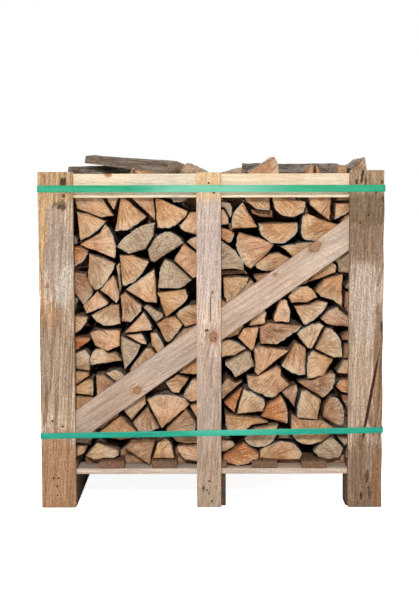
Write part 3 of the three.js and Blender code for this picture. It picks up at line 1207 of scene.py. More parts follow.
@dataclass
class Runner(Board):
    """A runner or block with a waney edge: an outline, in millimetres across and up, carried along it."""

    outline: tuple[tuple[float, float], ...] = ()

    def section(self, width: float, thickness: float) -> tuple[np.ndarray, np.ndarray]:
        """The outline in even steps, about the middle of the board.

        Args:
            width: Size across the board, which the outline already has. It is not used.
            thickness: Size through the board, which the outline already has. It is not used.

        Returns:
            The outline's points across and through, and 0 for each, as it has no sharp arris.
        """
        middle = np.array([self.centre()[0], self.centre()[2]])
        corners = np.array(self.outline) * MM - middle
        corners[:, 0] *= -1
        points = []
        for start, finish in zip(corners, np.roll(corners, -1, axis=0)):
            steps = max(1, round(float(np.linalg.norm(finish - start)) / (8 * MM)))
            points.append(start + (finish - start) * (np.arange(steps) / steps)[:, None])
        outline = np.concatenate(points)[::-1] * 0.99
        return outline, np.zeros(len(outline))


CENTRE_RUNNER = ((-33, 0), (30, 0), (36, 3), (39, 12), (41, 45), (41, 98), (-33, 98))
RIGHT_BLOCK = (
    (430, 0), (493, 0), (493, 98), (429, 98), (428, 78), (424, 62), (423, 48), (425, 30), (428, 12),
)


@dataclass
class Base:
    """Runners and blocks on the ground, bearers across them, and the floor's slats."""

    effects: SharedEffects

    def build(self) -> None:
        """The base in three pieces: what stands on the ground, the bearers, and the slats."""
        across, depth = Frame((1, 0, 0), (0, 0, 1)), Frame((0, 1, 0), (0, 0, 1))
        places = ("front", "middle", "back")
        feet = ["runner_left", "runner_centre"] + [f"block_right_{place}" for place in places]
        plan = (
            ("runners", "base_dark", BASE_DARK, depth, 4, feet),
            ("bearers", "base_pale", BASE_PALE, across, 2, [f"bearer_{place}" for place in places]),
            ("slats", "slat_brown", SLAT_BROWN, depth, 2, [f"slat_{number}" for number in range(1, 8)]),
        )
        seed = 101
        for name, material, finish, directions, arris, nodes in plan:
            skins = []
            for node in nodes:
                low, high = (np.array(corner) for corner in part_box(node))
                outline = RIGHT_BLOCK if "block" in node else CENTRE_RUNNER
                if node in feet[1:]:
                    board = Runner(node, low, high, directions, seed, arris * MM, outline=outline)
                else:
                    board = Board(node, low, high, directions, seed, arris * MM)
                skins.append(board.surface())
                seed += 1
            joined(skins).piece(name, [finish.dress(self.effects, material)], "base_wood", nodes)


# ---- logs ----


class LogFace(Enum):
    """What a face of a log is; the value is its place in the log's list of materials."""

    END = 0
    SPLIT = 1
    BARK = 2


class Tone(Enum):
    """Colour of a log's sawn end; the stack's plan names each by a letter, in this order: p t o g c k b r."""

    PALE = (0.86, 0.70, 0.56)
    TAN = (0.84, 0.66, 0.48)
    ORANGE = (0.79, 0.49, 0.23)
    GREY = (0.67, 0.59, 0.49)
    CREAM = (0.83, 0.72, 0.60)
    PINK = (0.87, 0.69, 0.56)
    BROWN = (0.69, 0.53, 0.41)
    RED = (0.71, 0.53, 0.42)


TONE_LETTER = dict(zip("ptogckbr", Tone))


@dataclass
class Log:
    """One split log: an outline carried along its length, with sawn ends and torn or barked sides.

    The outline's corners are in metres across and up. Each edge runs straight, or bows out in a
    parabola where it is bark. Lengths run along +Y from the start.
    """

    tone: Tone
    corners: np.ndarray
    bark: tuple[int, ...]
    bulge: float
    start: float
    length: float
    seed: int
    weather: float = 0.3
    swell: float = 0.0
    step: float = 7.5 * MM
    stations: tuple[float, ...] = (0.0, 0.008, 0.05, 0.16, 0.34, 0.5, 0.66, 0.84, 0.95, 0.992, 1.0)

    def outline(self) -> tuple[np.ndarray, np.ndarray]:
        """Points round the log, against the clock, and whether each stretch after them is bark."""
        corners, count = self.corners, len(self.corners)
        bark = set(self.bark)
        after = np.roll(corners, -1, axis=0)
        if np.sum(corners[:, 0] * after[:, 1] - after[:, 0] * corners[:, 1]) < 0:
            corners = corners[::-1]
            bark = {(count - 2 - edge) % count for edge in bark}
        points, barked = [], []
        for edge in range(count):
            start, finish = corners[edge], corners[(edge + 1) % count]
            chord = finish - start
            steps = max(2, round(float(np.linalg.norm(chord)) / self.step))
            share = np.arange(steps)[:, None] / steps
            outward = np.array([chord[1], -chord[0]])
            bow = self.bulge if edge in bark else 0.0
            points.append(start + chord * share + outward * bow * 4 * share * (1 - share))
            barked.append(np.full(steps, edge in bark))
        return np.concatenate(points), np.concatenate(barked)

    def pith(self, points: np.ndarray, barked: np.ndarray) -> np.ndarray:
        """Where the tree's middle was: just beyond the point farthest from the bark."""
        middle = points.mean(axis=0)
        if not barked.any():
            turn = 2.4 * self.seed
            return middle + np.array([math.cos(turn), math.sin(turn)]) * 0.05
        skin = points[barked].mean(axis=0)
        far = points[np.argmax(np.linalg.norm(points - skin, axis=1))]
        return far + (far - skin) * 0.12

    def surface(self) -> Surface:
        """The closed log.

        Rings of the outline stand at stations along the log. They taper, turn and wander a little,
        are torn by ripples drawn out along the grain, and draw in at the two rims. Inside each rim,
        smaller rings close the sawn end, which leans and is a little uneven.
        """
        draw = np.random.default_rng(self.seed)
        flat, barked = self.outline()
        around = len(flat)
        middle = flat.mean(axis=0)
        pith = self.pith(flat, barked)
        reach = flat - middle
        size = np.linalg.norm(reach, axis=1, keepdims=True)
        away = reach / size
        stations = np.array(self.stations)
        taper = 1 + draw.uniform(-0.05, 0.05) * (stations - draw.integers(0, 2)) + self.swell * (1 - stations)
        turn = math.radians(draw.uniform(-2.0, 2.0)) * stations
        drift = draw.uniform(-2.5, 2.5, 2) * MM * stations[:, None] * (1 - draw.integers(0, 2) * 0.5)
        spin = np.stack([np.cos(turn), -np.sin(turn), np.sin(turn), np.cos(turn)], -1).reshape(-1, 2, 2)
        body = np.einsum("sij,nj->sni", spin, reach) * taper[:, None, None] + middle + drift[:, None, :]
        drawn_out = np.broadcast_to(stations[:, None, None] * self.length * 0.35, body.shape[:2] + (1,))
        seen = np.concatenate([drawn_out, body], axis=-1)
        torn = ripple(seen, 0.022, self.seed + 1) * 0.8 * MM + ripple(seen, 0.07, self.seed + 2) * 1.1 * MM
        rough = ripple(seen, 0.012, self.seed + 3) * np.where(barked, 0.9, 0.35) * MM
        rim = np.zeros(len(stations))
        rim[[0, -1]] = 1.3 * MM
        push = torn + rough - rim[:, None] * (1 + 0.8 * ripple(flat, 0.01, self.seed + 4))
        body = body + away * push[..., None]
        shrink = np.array([0.12, 0.34, 0.6, 0.86])
        front = body[0].mean(axis=0) + (body[0] - body[0].mean(axis=0)) * shrink[:, None, None]
        back = body[-1].mean(axis=0) + (body[-1] - body[-1].mean(axis=0)) * shrink[::-1, None, None]
        rings = np.concatenate([front, body, back])
        caps = len(shrink)
        share = np.concatenate([np.zeros(caps), stations, np.ones(caps)])
        lean = draw.uniform(-0.05, 0.05, (2, 2))
        slant = ((rings - middle) @ lean.T) * np.stack([1 - share, share], -1)[:, None, :]
        inner = np.concatenate([np.ones(caps), np.zeros(len(stations)), np.ones(caps)])
        relief = ripple(rings, 0.03, self.seed + 6) * 0.7 * MM * inner[:, None]
        along = self.start + share[:, None] * self.length + slant.sum(axis=-1) + relief
        grid = np.stack([rings[..., 0], along, rings[..., 1]], axis=-1)
        made = closed_sweep(grid, grid[0].mean(axis=0), grid[-1].mean(axis=0))
        made.tri_finish[:] = LogFace.END.value
        kinds = np.full((len(grid) - 1, around), LogFace.END.value)
        kinds[caps:-caps] = np.where(barked, LogFace.BARK.value, LogFace.SPLIT.value)
        made.quad_finish = kinds.ravel()
        made.fields = self.fields(made.points, flat, barked, pith)
        return made

    def fields(self, points: np.ndarray, flat: np.ndarray, barked: np.ndarray, pith: np.ndarray) -> dict:
        """Grain from the pith, the log's tone and weathering, and how far bark and outline are.

        Args:
            points: The surface's points.
            flat: The outline.
            barked: Whether each stretch of the outline is bark.
            pith: The middle of the year rings.

        Returns:
            The fields by name.
        """
        section = points[:, [0, 2]]
        gaps = np.linalg.norm(section[:, None, :] - flat[None], axis=-1)
        rim = gaps[:, barked].min(axis=1) if barked.any() else np.full(len(points), 0.1)
        shade = 1 + 0.07 * math.sin(self.seed * 1.7)
        tone = np.array(linear(self.tone.value)[:3]) * shade
        middle = self.start + self.length / 2
        along = self.seed % 97 + (points[:, 1] - middle)
        return {
            "grain": np.column_stack([along, section - pith]),
            "tone": np.tile(tone, (len(points), 1)),
            "rim": rim,
            "edge": np.clip(gaps.min(axis=1) - 1.0 * MM, 0, None),
            "weather": np.full(len(points), self.weather),
        }


def read_outline(text: str) -> np.ndarray:
    """Reads corner points, typed in centimetres, into metres."""
    return np.array([[float(value) for value in pair.split(",")] for pair in text.split()]) * CM


def read_edges(text: str) -> tuple[int, ...]:
    """Reads the numbers of the bark edges."""
    return tuple(int(edge) for edge in text.split())


# Each row is a log's tone, the numbers of its bark edges, how far they bulge, and its outline, in
# centimetres across and up. A piece that is set back also has how far, and a short one its length.
STACK_PLAN = (
    # left of the centre post, from the top
    ("p", "1", 0.05, "-41.3,92.4 -42.5,97 -34.3,97 -30.2,90.3 -33.8,89.5"),
    ("p", "0", 0.08, "-33.2,97.2 -27.9,97.2 -30,92.2"),
    ("t", "2", 0.06, "-41.4,91.4 -38,90.8 -32.4,88.5 -40.4,82.4"),
    ("p", "2", 0.13, "-40.6,81.3 -34.5,84.9 -32.7,87.7 -29.9,77"),
    ("g", "", 0.0, "-48,84.8 -42,84.2 -41.2,83 -41.3,81.5 -48,80.9"),
    ("o", "2 3", 0.08, "-47,80.4 -40.4,80.6 -38.2,79.3 -39.5,76.3 -42.8,74.7 -47,75"),
    ("c", "2", 0.08, "-37.8,78.6 -33,77 -29.7,75.3 -34.9,67.5 -36,67.2 -38.4,70.5"),
    ("b", "3", 0.05, "-46,71.5 -42.3,72.8 -38.8,72.2 -36.7,66.6 -39.7,62.9 -42.5,66.8 -46,68"),
    ("t", "1", 0.11, "-27.7,96.5 -20,89.9 -29.6,85.5"),
    ("p", "0", 0.03, "-26.4,97.4 -17.9,97.4 -17.2,88.8"),
    ("g", "0 1", 0.07, "-28.8,80.6 -24.8,85 -17.4,87.9 -17.8,84.2 -20.2,80 -25.5,78.5"),
    ("t", "2 3", 0.08, "-17.5,96 -15,95.4 -7,91.4 -10.4,87.3 -16.7,86.3"),
    ("p", "1", 0.1, "-6.6,91.2 -9.9,87 -8.3,85.2 -4.7,84.3 -2,84.8 -2,91.6"),
    ("g", "2 3", 0.05, "-13.5,97 -6,97 -8,94.6 -11.5,94.3"),
    ("g", "1 2", 0.1, "-19.7,79.8 -17.6,83.1 -12.8,85.1 -8.4,81.8 -17.6,75.9 -18.8,76.3"),
    ("k", "", 0.0, "-8.6,81.6 -4.9,78.9 -2,76.5 -2,71.8 -5.8,70.6 -11.7,76.4"),
    ("p", "0", 0.1, "-7.6,82.1 -5,83.6 -1.5,84 -1.5,77.5 -4.6,79.4"),
    ("t", "2", 0.12, "-28.4,78 -24.5,78 -19.5,75.9 -26.4,68.5 -27.5,68.5"),
    ("g", "0", 0.0, "-29.3,74.6 -28.4,75.4 -27.9,68.2 -28.3,66.5"),
    ("p", "2", 0.08, "-30.4,71.9 -34.5,67.2 -29.4,63 -28.4,66 -29.2,69.5"),
    ("k", "1", 0.06, "-35.2,66.9 -31.9,63.1 -38.8,60 -39.6,62.6"),
    ("c", "3", 0.2, "-37.2,59.4 -31,62.8 -28.7,62.5 -28.2,56.6"),
    ("b", "2", 0.08, "-28.1,65.5 -26.7,66.6 -21.5,62.2 -25.2,57.5 -27.8,57.5"),
    ("p", "0", 0.02, "-26.4,67.4 -17.6,73.6 -16.9,63.2 -20.5,63.6"),
    ("g", "5 3", 0.06, "-14.4,76.8 -12.3,76.1 -6,70.3 -8.5,68.4 -16.6,67.9 -16.3,71"),
    ("t", "1 2", 0.1, "-16.7,66.4 -8.2,67.4 -7.4,65.3 -9.3,62.3 -14.1,58.7"),
    ("g", "0", 0.0, "-21.3,62.1 -19.9,62.6 -15.1,59.8 -14.8,58.6 -17.2,57.2"),
    ("t", "3", 0.05, "-17,56.7 -14.6,58.2 -11.3,58.9 -9,56.3 -13.2,51 -14.3,51.1"),
    ("t", "0", 0.06, "-10.8,59.6 -6.8,62.2 -2,62.6 -2,57 -5,56.5 -8.2,55.8"),
    ("k", "2", 0.05, "-21,60.4 -27,53.9 -18.4,54.8"),
    ("p", "1", 0.06, "-26.6,53.2 -21.9,53.7 -20.1,50.2 -21.8,50.4"),
    ("g", "1", 0.07, "-28.2,52.9 -22.1,50 -27.1,42.4 -27.7,46"),
    ("k", "0", 0.03, "-37.7,54 -35.3,54.9 -28.4,54.6 -28.7,49.9 -32.2,48.2 -36.2,49.9"),
    ("t", "2 3", 0.08, "-47,59.6 -42,59.4 -38.5,58.8 -39.7,56 -42.8,53.5 -47,53.9"),
    ("g", "", 0.0, "-47,66.5 -42.8,65.8 -41.3,64.3 -42.2,61.3 -47,60.5"),
    ("o", "", 0.0, "-47,52.9 -42,52.6 -37.6,52.3 -37.9,51.3 -42.6,48.1 -47,47.8"),
    ("c", "2", 0.05, "-47,46.5 -42,47.6 -39.3,48.5 -38.1,46.5 -38.2,42.2 -42.3,42.8 -47,42.9"),
    ("t", "", 0.0, "-47,42.2 -38.3,41.5 -38.2,40.6 -42.6,37.8 -47,37.6"),
    ("t", "3", 0.05, "-47,36.6 -42.4,37.2 -38.3,39.6 -36.9,39.4 -37,34.4 -42.4,34.9 -47,35"),
    ("c", "5", 0.17, "-36,48.6 -34,48.9 -32,47.6 -29.9,47.5 -27.9,45.2 -37.5,43.7"),
    ("c", "0 1", 0.05, "-33,41.4 -30.2,42.3 -27.7,41.5 -25.6,38 -28.9,38.1"),
    ("b", "3", 0.05, "-36,40.7 -33.5,40.7 -29.7,37.9 -31,34 -35.8,33.6"),
    ("t", "", 0.0, "-47,34.2 -37.3,33.6 -38.5,29 -47,28.4"),
    ("p", "1", 0.05, "-18.8,53.7 -17.2,54.2 -14.8,49.2 -15.5,46.2 -18.6,49.9"),
    ("t", "0", 0.03, "-25.6,42.1 -20.2,49.2 -18.8,49.2 -15.9,45.6 -21.5,39.2"),
    ("c", "", 0.0, "-8.8,55 -5,56 -2,56.4 -2,50 -6,47.5 -12.4,50.7"),
    ("t", "4", 0.1, "-14.2,38.6 -10.8,40.9 -7.1,39.4 -10.2,34.9 -12,35.2"),
    ("t", "", 0.0, "-10,41.4 -6,46 -1.5,48 -1.5,41.2 -5,40.8"),
    ("k", "0", 0.05, "-9,33.8 -5.6,39.4 -2,39.9 -2,33.5 -4.8,32.5 -6.5,32.1"),
    ("p", "0", 0.14, "-20.1,33 -8.4,33 -7.2,31.4 -15.5,24.1"),
    ("b", "3", 0.08, "-7.9,30.1 -14.4,23.5 -13.6,21.6 -5.8,21.6 -5.1,26"),
    ("p", "", 0.0, "-6.7,30.9 -4.8,31.6 -1.5,32.4 -1.5,26.9 -4.7,27.4"),
    ("c", "0", 0.04, "-27.5,29.4 -26,31.6 -20.7,34.4 -20.5,31.6 -25.1,26.4"),
    ("b", "2", 0.08, "-20,30.8 -24.7,25.7 -22.9,22.9 -16.3,23.9"),
    ("t", "", 0.0, "-34.9,22.9 -28.4,27.7 -23.5,22.7 -25.5,20.9 -28.5,20.4 -33,21.1"),
    ("g", "", 0.0, "-47,21.5 -36.8,21.3 -38.5,19 -47,19.2"),
    ("p", "", 0.0, "-47,18.4 -38.9,18.2 -40,15.9 -42.4,14.9 -47,14.6"),
    ("c", "3", 0.07, "-39.4,15.3 -35.6,19.3 -29.2,16.9 -29,15.9 -30.5,14.6 -36.8,14.1"),
    ("b", "", 0.0, "-27.4,17.5 -25.2,20.2 -17.4,20.4 -18.8,15.8 -19.2,11.9"),
    ("t", "2 3", 0.05, "-18.6,14.3 -17.2,19.2 -15,20.6 -13.1,20.2 -11.9,16.8 -11.4,14.3"),
    ("k", "4 5", 0.05, "-10.7,18.2 -2,18.6 -2,14.2 -5,13.4 -8.6,14.3 -10,16"),
    ("c", "", 0.0, "-12.2,21 -2,21.3 -2,19.3 -8.2,19 -10.9,19.6"),
    # right of the centre post, from the top
    ("k", "2", 0.05, "-1.5,92.3 3.8,92.2 5.2,89.8 5.3,87.5 3.2,87.2 -1.5,87.2"),
    ("g", "1 2", 0.05, "1,95.2 5.9,94 6.5,91.6 5.9,89.4 4.3,92.6 1,93.2"),
    ("t", "0 1", 0.06, "9.7,94 6.5,90.2 6.4,86.2 14.2,86.6"),
    ("t", "3", 0.04, "10.3,94.6 10,97 18,97 18.2,91.8 14,92.3"),
    ("t", "1 2 3 4", 0.06, "18.5,96.2 29.3,94.4 28.5,91.3 25.2,89.4 21.4,90 19.1,92.8"),
    ("p", "", 0.0, "29.8,96.6 36.8,96.6 36.4,88.6 33.5,90.6 30.4,93.4"),
    ("t", "3 4", 0.05, "38.2,93.8 47,94 47,91.5 42.2,91 40,89.9 38,88.8"),
    ("t", "1 2 3 4 5", 0.05, "14.7,87.5 26.5,87.9 26.5,85.3 22.8,81.9 18.8,81.7 15.3,84.4"),
    ("t", "5 6 7", 0.05, "28.3,90 29.8,90.5 36.2,88 39.3,87.2 35.2,82 32.5,82.2 28.8,83 27.8,84.9"),
    ("t", "0", 0.02, "21.2,80.6 31.3,82 33,79.5 26,75 24.9,77.5 22.9,79.6"),
    ("p", "5", 0.05, "13.4,75.1 17.8,78.2 20.8,78.7 24.3,77 22,73.3 17,73.1 14.2,73.9"),
    ("k", "5 6", 0.05, "8.8,84.8 15,83.1 19,81.2 17.6,79 12.2,74 11,74.5 7.9,80.4 8.2,83.4"),
    ("o", "3", 0.06, "-1.5,86.2 3.2,86.2 5.5,85.7 7,84.7 6.1,81.9 5.4,81.6 3.2,83.1 -1.5,83.4"),
    ("g", "2", 0.05, "-1.5,82.4 3.2,82.4 5.6,80.9 9.8,75.6 10.1,73.3 7,73.7 -1.5,73.4"),
    ("t", "2", 0.11, "3.5,71.1 8,71.5 11.8,71.1 4.7,62.8 3.8,65"),
    ("p", "", 0.0, "8.2,52.3 10.1,55.3 14.7,55.6 13.3,48.9 12.5,48.1"),
    ("p", "2", 0.03, "11.7,56 16.5,56.7 17,60 16,62 12.5,59.5"),
    ("k", "1 2 3", 0.06, "21.2,64.2 22.8,64.3 24,62.2 24.4,59.2 23.9,57.1 19.4,57.1 19.2,58.2"),
    ("r", "3 4", 0.05, "15.1,55.5 17.8,57 19.2,56.7 28,56 25.3,53.7 20,50.3 15.3,50.4"),
    ("t", "0 1", 0.05, "23.8,64.9 25.2,67.2 29.8,68.4 31.6,66.9 32.8,64.9 29.5,63.3 24.7,63.1"),
    ("t", "3 4", 0.04, "32.2,66.8 34.9,70.5 40.5,72.1 40.4,62.1 37.5,64.1 34,65.2"),
    ("t", "2 3", 0.05, "29.8,69.5 34.8,71.2 38.7,72.6 38.5,74.8 36.9,76 33,73.2"),
    ("g", "", 0.0, "41.2,68.4 42.4,70.2 47,71 47,67.3 41.4,67.4"),
    ("r", "", 0.0, "41.5,66.5 47,66.8 47,60.4 42,60.5 41.3,62"),
    ("c", "3 4", 0.05, "25.4,62.2 30,62.6 33.3,63.8 36.3,63.2 35.2,61 29.2,56.2 28.4,56.4"),
    ("r", "0", 0.06, "38.9,61.7 35.6,60 33.9,58.2 35.5,56.8 36.8,56.3 47,55.2 47,58 41.5,59.3"),
    ("c", "0 1", 0.05, "26.5,53.5 29.6,55.9 33.6,57 34.9,56.2 31.2,49 29.9,48.9"),
    ("c", "1 2", 0.05, "35.5,55.5 37,55.4 40,51.5 40.6,46.2 38.2,45.9 32.1,48.8"),
    ("b", "", 0.0, "41.2,50.3 47,50.5 47,46.2 41.2,46"),
    ("r", "", 0.0, "40.2,52.7 42.5,54.2 47,54.3 47,51.4 40.6,51.5"),
    ("p", "3 4", 0.06, "26,50.8 29.2,48.9 29,46 29.1,40.9 26.8,40.7 21.8,43.6"),
    ("t", "4 5", 0.04, "31.4,48.1 37.5,45.4 34.9,40.6 32.5,39.9 30,39.6 30.1,46.3"),
    ("c", "", 0.0, "38.9,41.4 41,45.3 47,45.7 47,41 40,41"),
    ("b", "4 5", 0.05, "26.8,38.4 28.6,39 31,38.8 37.2,41.3 38.6,40.7 37.7,36.4 34.9,33.2 29.5,36.6"),
    ("o", "0", 0.05, "38.7,37 40.1,39.1 47,39.8 47,34.6 42.5,34.7 40.4,35.3"),
    ("b", "0 1 2", 0.06, "37,33.9 39.5,32.9 41.4,28.5 41.1,25.6 40.1,24.5 34.8,27.6 35.2,31"),
    ("r", "", 0.0, "40.6,34 47,33.7 47,28 42.5,28.2 42.2,30.5 40.7,33"),
    ("c", "4 5", 0.05, "28.1,35.5 29.5,35.8 34,32.7 33,26.4 26.8,27.1 26.7,29"),
    ("r", "2", 0.05, "22.1,35.1 24.9,37.1 26.4,37.3 26.7,35.5 25.8,30.6"),
    ("p", "6 7", 0.05,
     "11,40.3 14.1,40.1 20.3,43.2 21.7,42.3 21.6,40.2 24.4,37.4 19.3,33.5 15,34.5 11.3,36.7"),
    ("k", "", 0.0, "13.2,48.9 15.1,49.7 24.1,48.4 14.4,40.6 13.4,41.5 13.6,44.5"),
    ("g", "4 5", 0.05, "4.2,44.6 10.8,48.1 12.1,47.9 13.2,43.7 7.3,39.8 6.5,41.8"),
    ("p", "1 2", 0.05, "-1.5,51.2 5.3,51.5 8.1,50.5 10.6,48.8 7.2,46.8 -1.5,45.8"),
    ("b", "0", 0.04, "-1.5,36.5 3.4,37.4 4.9,39.9 7.4,38 9.7,38.7 3.4,32.9 -1.5,32.4"),
    ("o", "", 0.0, "9.6,37 3.8,31.9 7,28.4 8.1,32.1"),
    ("c", "0 1", 0.04, "10,36.4 15.9,33.2 16.7,31.7 15.9,29.4 7.9,28.4 8.6,32.3"),
    ("o", "3 4 5", 0.05, "21.5,34.1 17.4,31.3 15.4,27.4 23.5,25.3 23.9,28.5 23,31.8"),
    ("t", "5 6", 0.05, "4.2,28.5 7.5,27.8 14.8,27 17.7,25.7 12.9,25 9.5,22.2 5.5,21.7 4.4,25"),
    ("c", "3 4 5 6", 0.05, "10.2,20.6 13.3,23.9 20.8,25 20.2,21.3 18.2,18.7 14.8,17.7 12.1,18.4"),
    ("p", "", 0.0, "24.8,23 24.9,28 26.4,26.5 34.6,26.2 38.2,23.9 37.4,22.9"),
    ("t", "3 4 5", 0.05, "25,22.4 37.3,22.5 37,21.1 34.3,19.4 30.5,18.4 27.5,19.1 25.5,21"),
    ("o", "3 4", 0.06, "10,19.2 3.8,15.3 4,13.5 7.8,12.1 11.5,12.8 14.5,14.4 14.7,15.8"),
    ("c", "2", 0.05, "-1.5,20.4 3.4,20.4 6.5,19.7 7.4,18.3 4.6,16.5 -1.5,15.6"),
    ("t", "0 1 2", 0.05, "15.2,16.8 21.8,19.6 25.7,18.8 28.1,15.5 27.7,13.8 20.7,13.7 15.2,14.4"),
    ("g", "0", 0.03, "31.7,16.4 37.6,21.5 41.2,17.4 40.4,14.2 36.4,13.8 33.2,14.5"),
    ("g", "", 0.0, "39.2,21.2 47,21.5 47,18.9 42.2,18.8 41.4,18.3"),
    ("g", "", 0.0, "42.2,18.3 47,18.4 47,14.3 41.8,14.5"),
    ("g", "", 0.0, "20.9,20.6 24.3,20.6 24.2,22.6 21.1,22.6"),
    # behind the brace, the posts and the straps, and small pieces set back in the gaps
    ("b", "", 0, "-37.6,32.8 -37.9,28.6 -35.6,24 -34,24.2 -29,28.1 -28.8,32.8 -32,33.4"),
    ("t", "2", 0.05, "-47,27.6 -38.8,28 -36.2,23.2 -36.4,22 -47,22.2"),
    ("g", "", 0, "-30.2,36 -28.6,31.4 -26.4,32.6 -21.2,35.2 -21.8,38.2 -25.2,37.3 -29,37.3"),
    ("b", "", 0, "-20.4,38.2 -20.2,33.8 -12.9,33.8 -12.6,34.8 -15,38.6", 9.0),
    ("b", "", 0, "-14.4,48.8 -14.9,46.6 -14.8,44.9 -17.2,42.2 -14.6,39.6 -11,41.8 -7,46.6 -12.6,49.8"),
    ("t", "", 0, "-1.5,57.2 -1.5,52.2 5.6,52.3 8.1,53.4 9.6,55.8 7.6,57.8"),
    ("p", "", 0, "-1.5,63.4 -1.5,58.2 7.8,58.8 10.6,57.4 11.6,59.6 6.2,62.6 2.8,64.2"),
    ("b", "", 0, "-1.5,72.6 -1.5,64.6 2.8,65 3,71.6 1.5,72.4"),
    ("c", "2", 0.06, "6,63.4 12,60.6 15.4,63 14.2,67.8 12.2,70.4"),
    ("t", "", 0, "13,71.6 15,68.4 16.4,63 17.6,61.4 20.4,64.6 22.4,65.2 23.6,66.6 22.2,72.2 17,72.4"),
    ("p", "4", 0.04, "23,72.6 24.6,67.6 29.4,69.2 30.8,71 32.6,73.6 33.4,77.8 30.6,76.6 25.6,74.4"),
    ("g", "", 0, "33.8,78.6 34.2,75 37.2,76.8 39.2,75.4 39.4,72.8 47,71.8 47,79 40.6,80.6 34.6,81.2"),
    ("t", "", 0, "36.4,82 41,81.4 47,79.8 47,90.6 41.8,90.2 40.2,88.6 40,87"),
    ("b", "", 0, "-47.8,97 -47.8,92.6 -43.6,92.2 -43.6,97"),
    ("g", "3", 0.05, "-47.6,91.8 -47.6,85.6 -42.8,85.2 -42.4,91.2"),
    ("t", "", 0, "38.8,96.8 38.6,94.8 47.2,95 47.2,97"),
    ("b", "", 0, "-1.5,73 10.4,73 11.6,71.9 8,71.8 3.4,71.5 -1.5,71.8", 4.5),
    ("b", "", 0, "12.4,92.1 14.2,91.7 19,91.6 19,89.4 15,89.8 12.6,90.8", 5.0),
    ("b", "", 0, "-9,97 -1,97 -1,92.2 -5,91.8 -6.5,94", 9.0),
    ("b", "", 0, "0,97 10,97 10.1,94.2 6.6,91.8 6.2,94.4 1,95.6", 9.0),
    ("b", "", 0, "-20,82.5 -17.6,84.7 -16.8,83.8 -19,80.8", 7.0),
    ("b", "", 0, "5.3,87.4 6.6,88 7.6,85.2 6.6,84.8 5.4,86", 7.0),
    ("b", "", 0, "-25.6,83.6 -23,83.6 -22.4,86 -24.6,86.4", 9.0),
    ("b", "", 0, "28.2,90 30.2,90.2 30,92.4 28.6,92.4", 7.0),
    ("b", "", 0, "-20.4,87.6 -17.2,87.2 -17.4,90.2 -19.4,90.4", 8.0),
    ("b", "", 0, "-29.3,13.9 -22.6,13.9 -27.6,17.2 -29.1,15.7", 7.0),
    ("b", "", 0, "-19.1,13.9 -18.9,15.8 -17.7,19.4 -16.9,18.9 -18.2,13.9", 7.0),
    ("b", "", 0, "-11.3,13.9 -11.6,16.5 -10.7,17.4 -10.1,15.8 -8.9,14.2 -8.7,13.9", 7.0),
    # chips of wood that have dropped between the slats, onto the bearers
    ("b", "", 0, "-39.8,11.9 -34.6,11.9 -34.6,14.2 -37,14.4 -39.8,13.8", 5.0, 3.8),
    ("b", "", 0, "-27.8,11.9 -18.4,11.9 -18.6,14.1 -22,14.6 -27.6,14.5", 5.0, 3.8),
    ("b", "", 0, "-11,11.9 -2.8,11.9 -3,14 -6,14.3 -10.8,14.4", 5.0, 3.8),
    ("b", "", 0, "20.1,11.9 28.2,11.9 27.9,14.4 24,14.6 20.3,14.4", 5.0, 3.8),
    ("b", "", 0, "35,11.9 42,11.9 41.8,14.4 39,14.8 35.2,14.5", 5.0, 3.8),
)


class Row(Enum):
    """A row of logs: 1, or -1 if the plan is turned about, how many pieces it makes, and its seed."""

    FRONT = (1, 6, 1000)
    MIDDLE = (-1, 1, 3000)
    BACK = (1, 4, 5000)


@dataclass
class Stack:
    """Three rows of logs with their sawn ends to the front and back."""

    finishes: list[bpy.types.Material]
    plan: tuple = STACK_PLAN
    spare: float = 2 * MM
    uneven: float = 16 * MM
    hidden_step: float = 13 * MM

    def logs(self, row: Row, low: float, high: float) -> list[Log]:
        """The logs of one row, each a little longer or shorter than the next.

        Args:
            row: The row.
            low: Where the row starts, along Y.
            high: Where it ends.

        Returns:
            The row's logs.
        """
        mirror, _, base = row.value
        draw = np.random.default_rng(base)
        made = []
        for number, (letter, bark, bulge, outline, *inset) in enumerate(self.plan):
            tone = TONE_LETTER[letter] if row is Row.FRONT else draw.choice(list(Tone))
            set_back, cut_short = draw.uniform(0, self.uneven, 2)
            start = low + self.spare + (inset[0] * CM if inset else set_back)
            length = inset[1] * CM if len(inset) > 1 else high - self.spare - cut_short - start
            corners = read_outline(outline) * [mirror, 1]
            weather = draw.uniform(0.1, 0.45)
            if tone is Tone.GREY:
                weather = 0.95
            log = Log(tone, corners, read_edges(bark), bulge, start, length, base + 7 * number, weather)
            if row is Row.MIDDLE:
                log.step = self.hidden_step
            made.append(log)
        return made

    def build(self) -> None:
        """Every row, cut into level courses, which are its pieces."""
        for row in Row:
            node = f"log_row_{row.name.lower()}"
            low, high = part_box(node)
            logs = sorted(self.logs(row, low.y, high.y), key=lambda log: log.corners[:, 1].mean())
            parts = row.value[1]
            bounds = np.linspace(0, len(logs), parts + 1).astype(int)
            for number in range(parts):
                group = logs[bounds[number] : bounds[number + 1]]
                skin = joined([log.surface() for log in group])
                skin.piece(f"{node}_course_{number + 1}", self.finishes, "log_wood", [node])


@dataclass(frozen=True)
class LooseLog:
    """A log lying on the stack: end-on over its CAD node, or crosswise about a centre of its own.

    The outline is in centimetres, on the crate for an end-on log and about the centre for a crosswise
    one. A crosswise log has a length, a centre, a yaw and a pitch, and swells towards its start.
    """

    node: str
    tone: Tone
    outline: str
    bark: tuple[int, ...] = ()
    bulge: float = 0.0
    weather: float = 0.3
    slot: str = "log_wood"
    length: float = 0.0
    centre: tuple[float, float, float] | None = None
    yaw: float = 0.0
    pitch: float = 0.0
    swell: float = 0.0


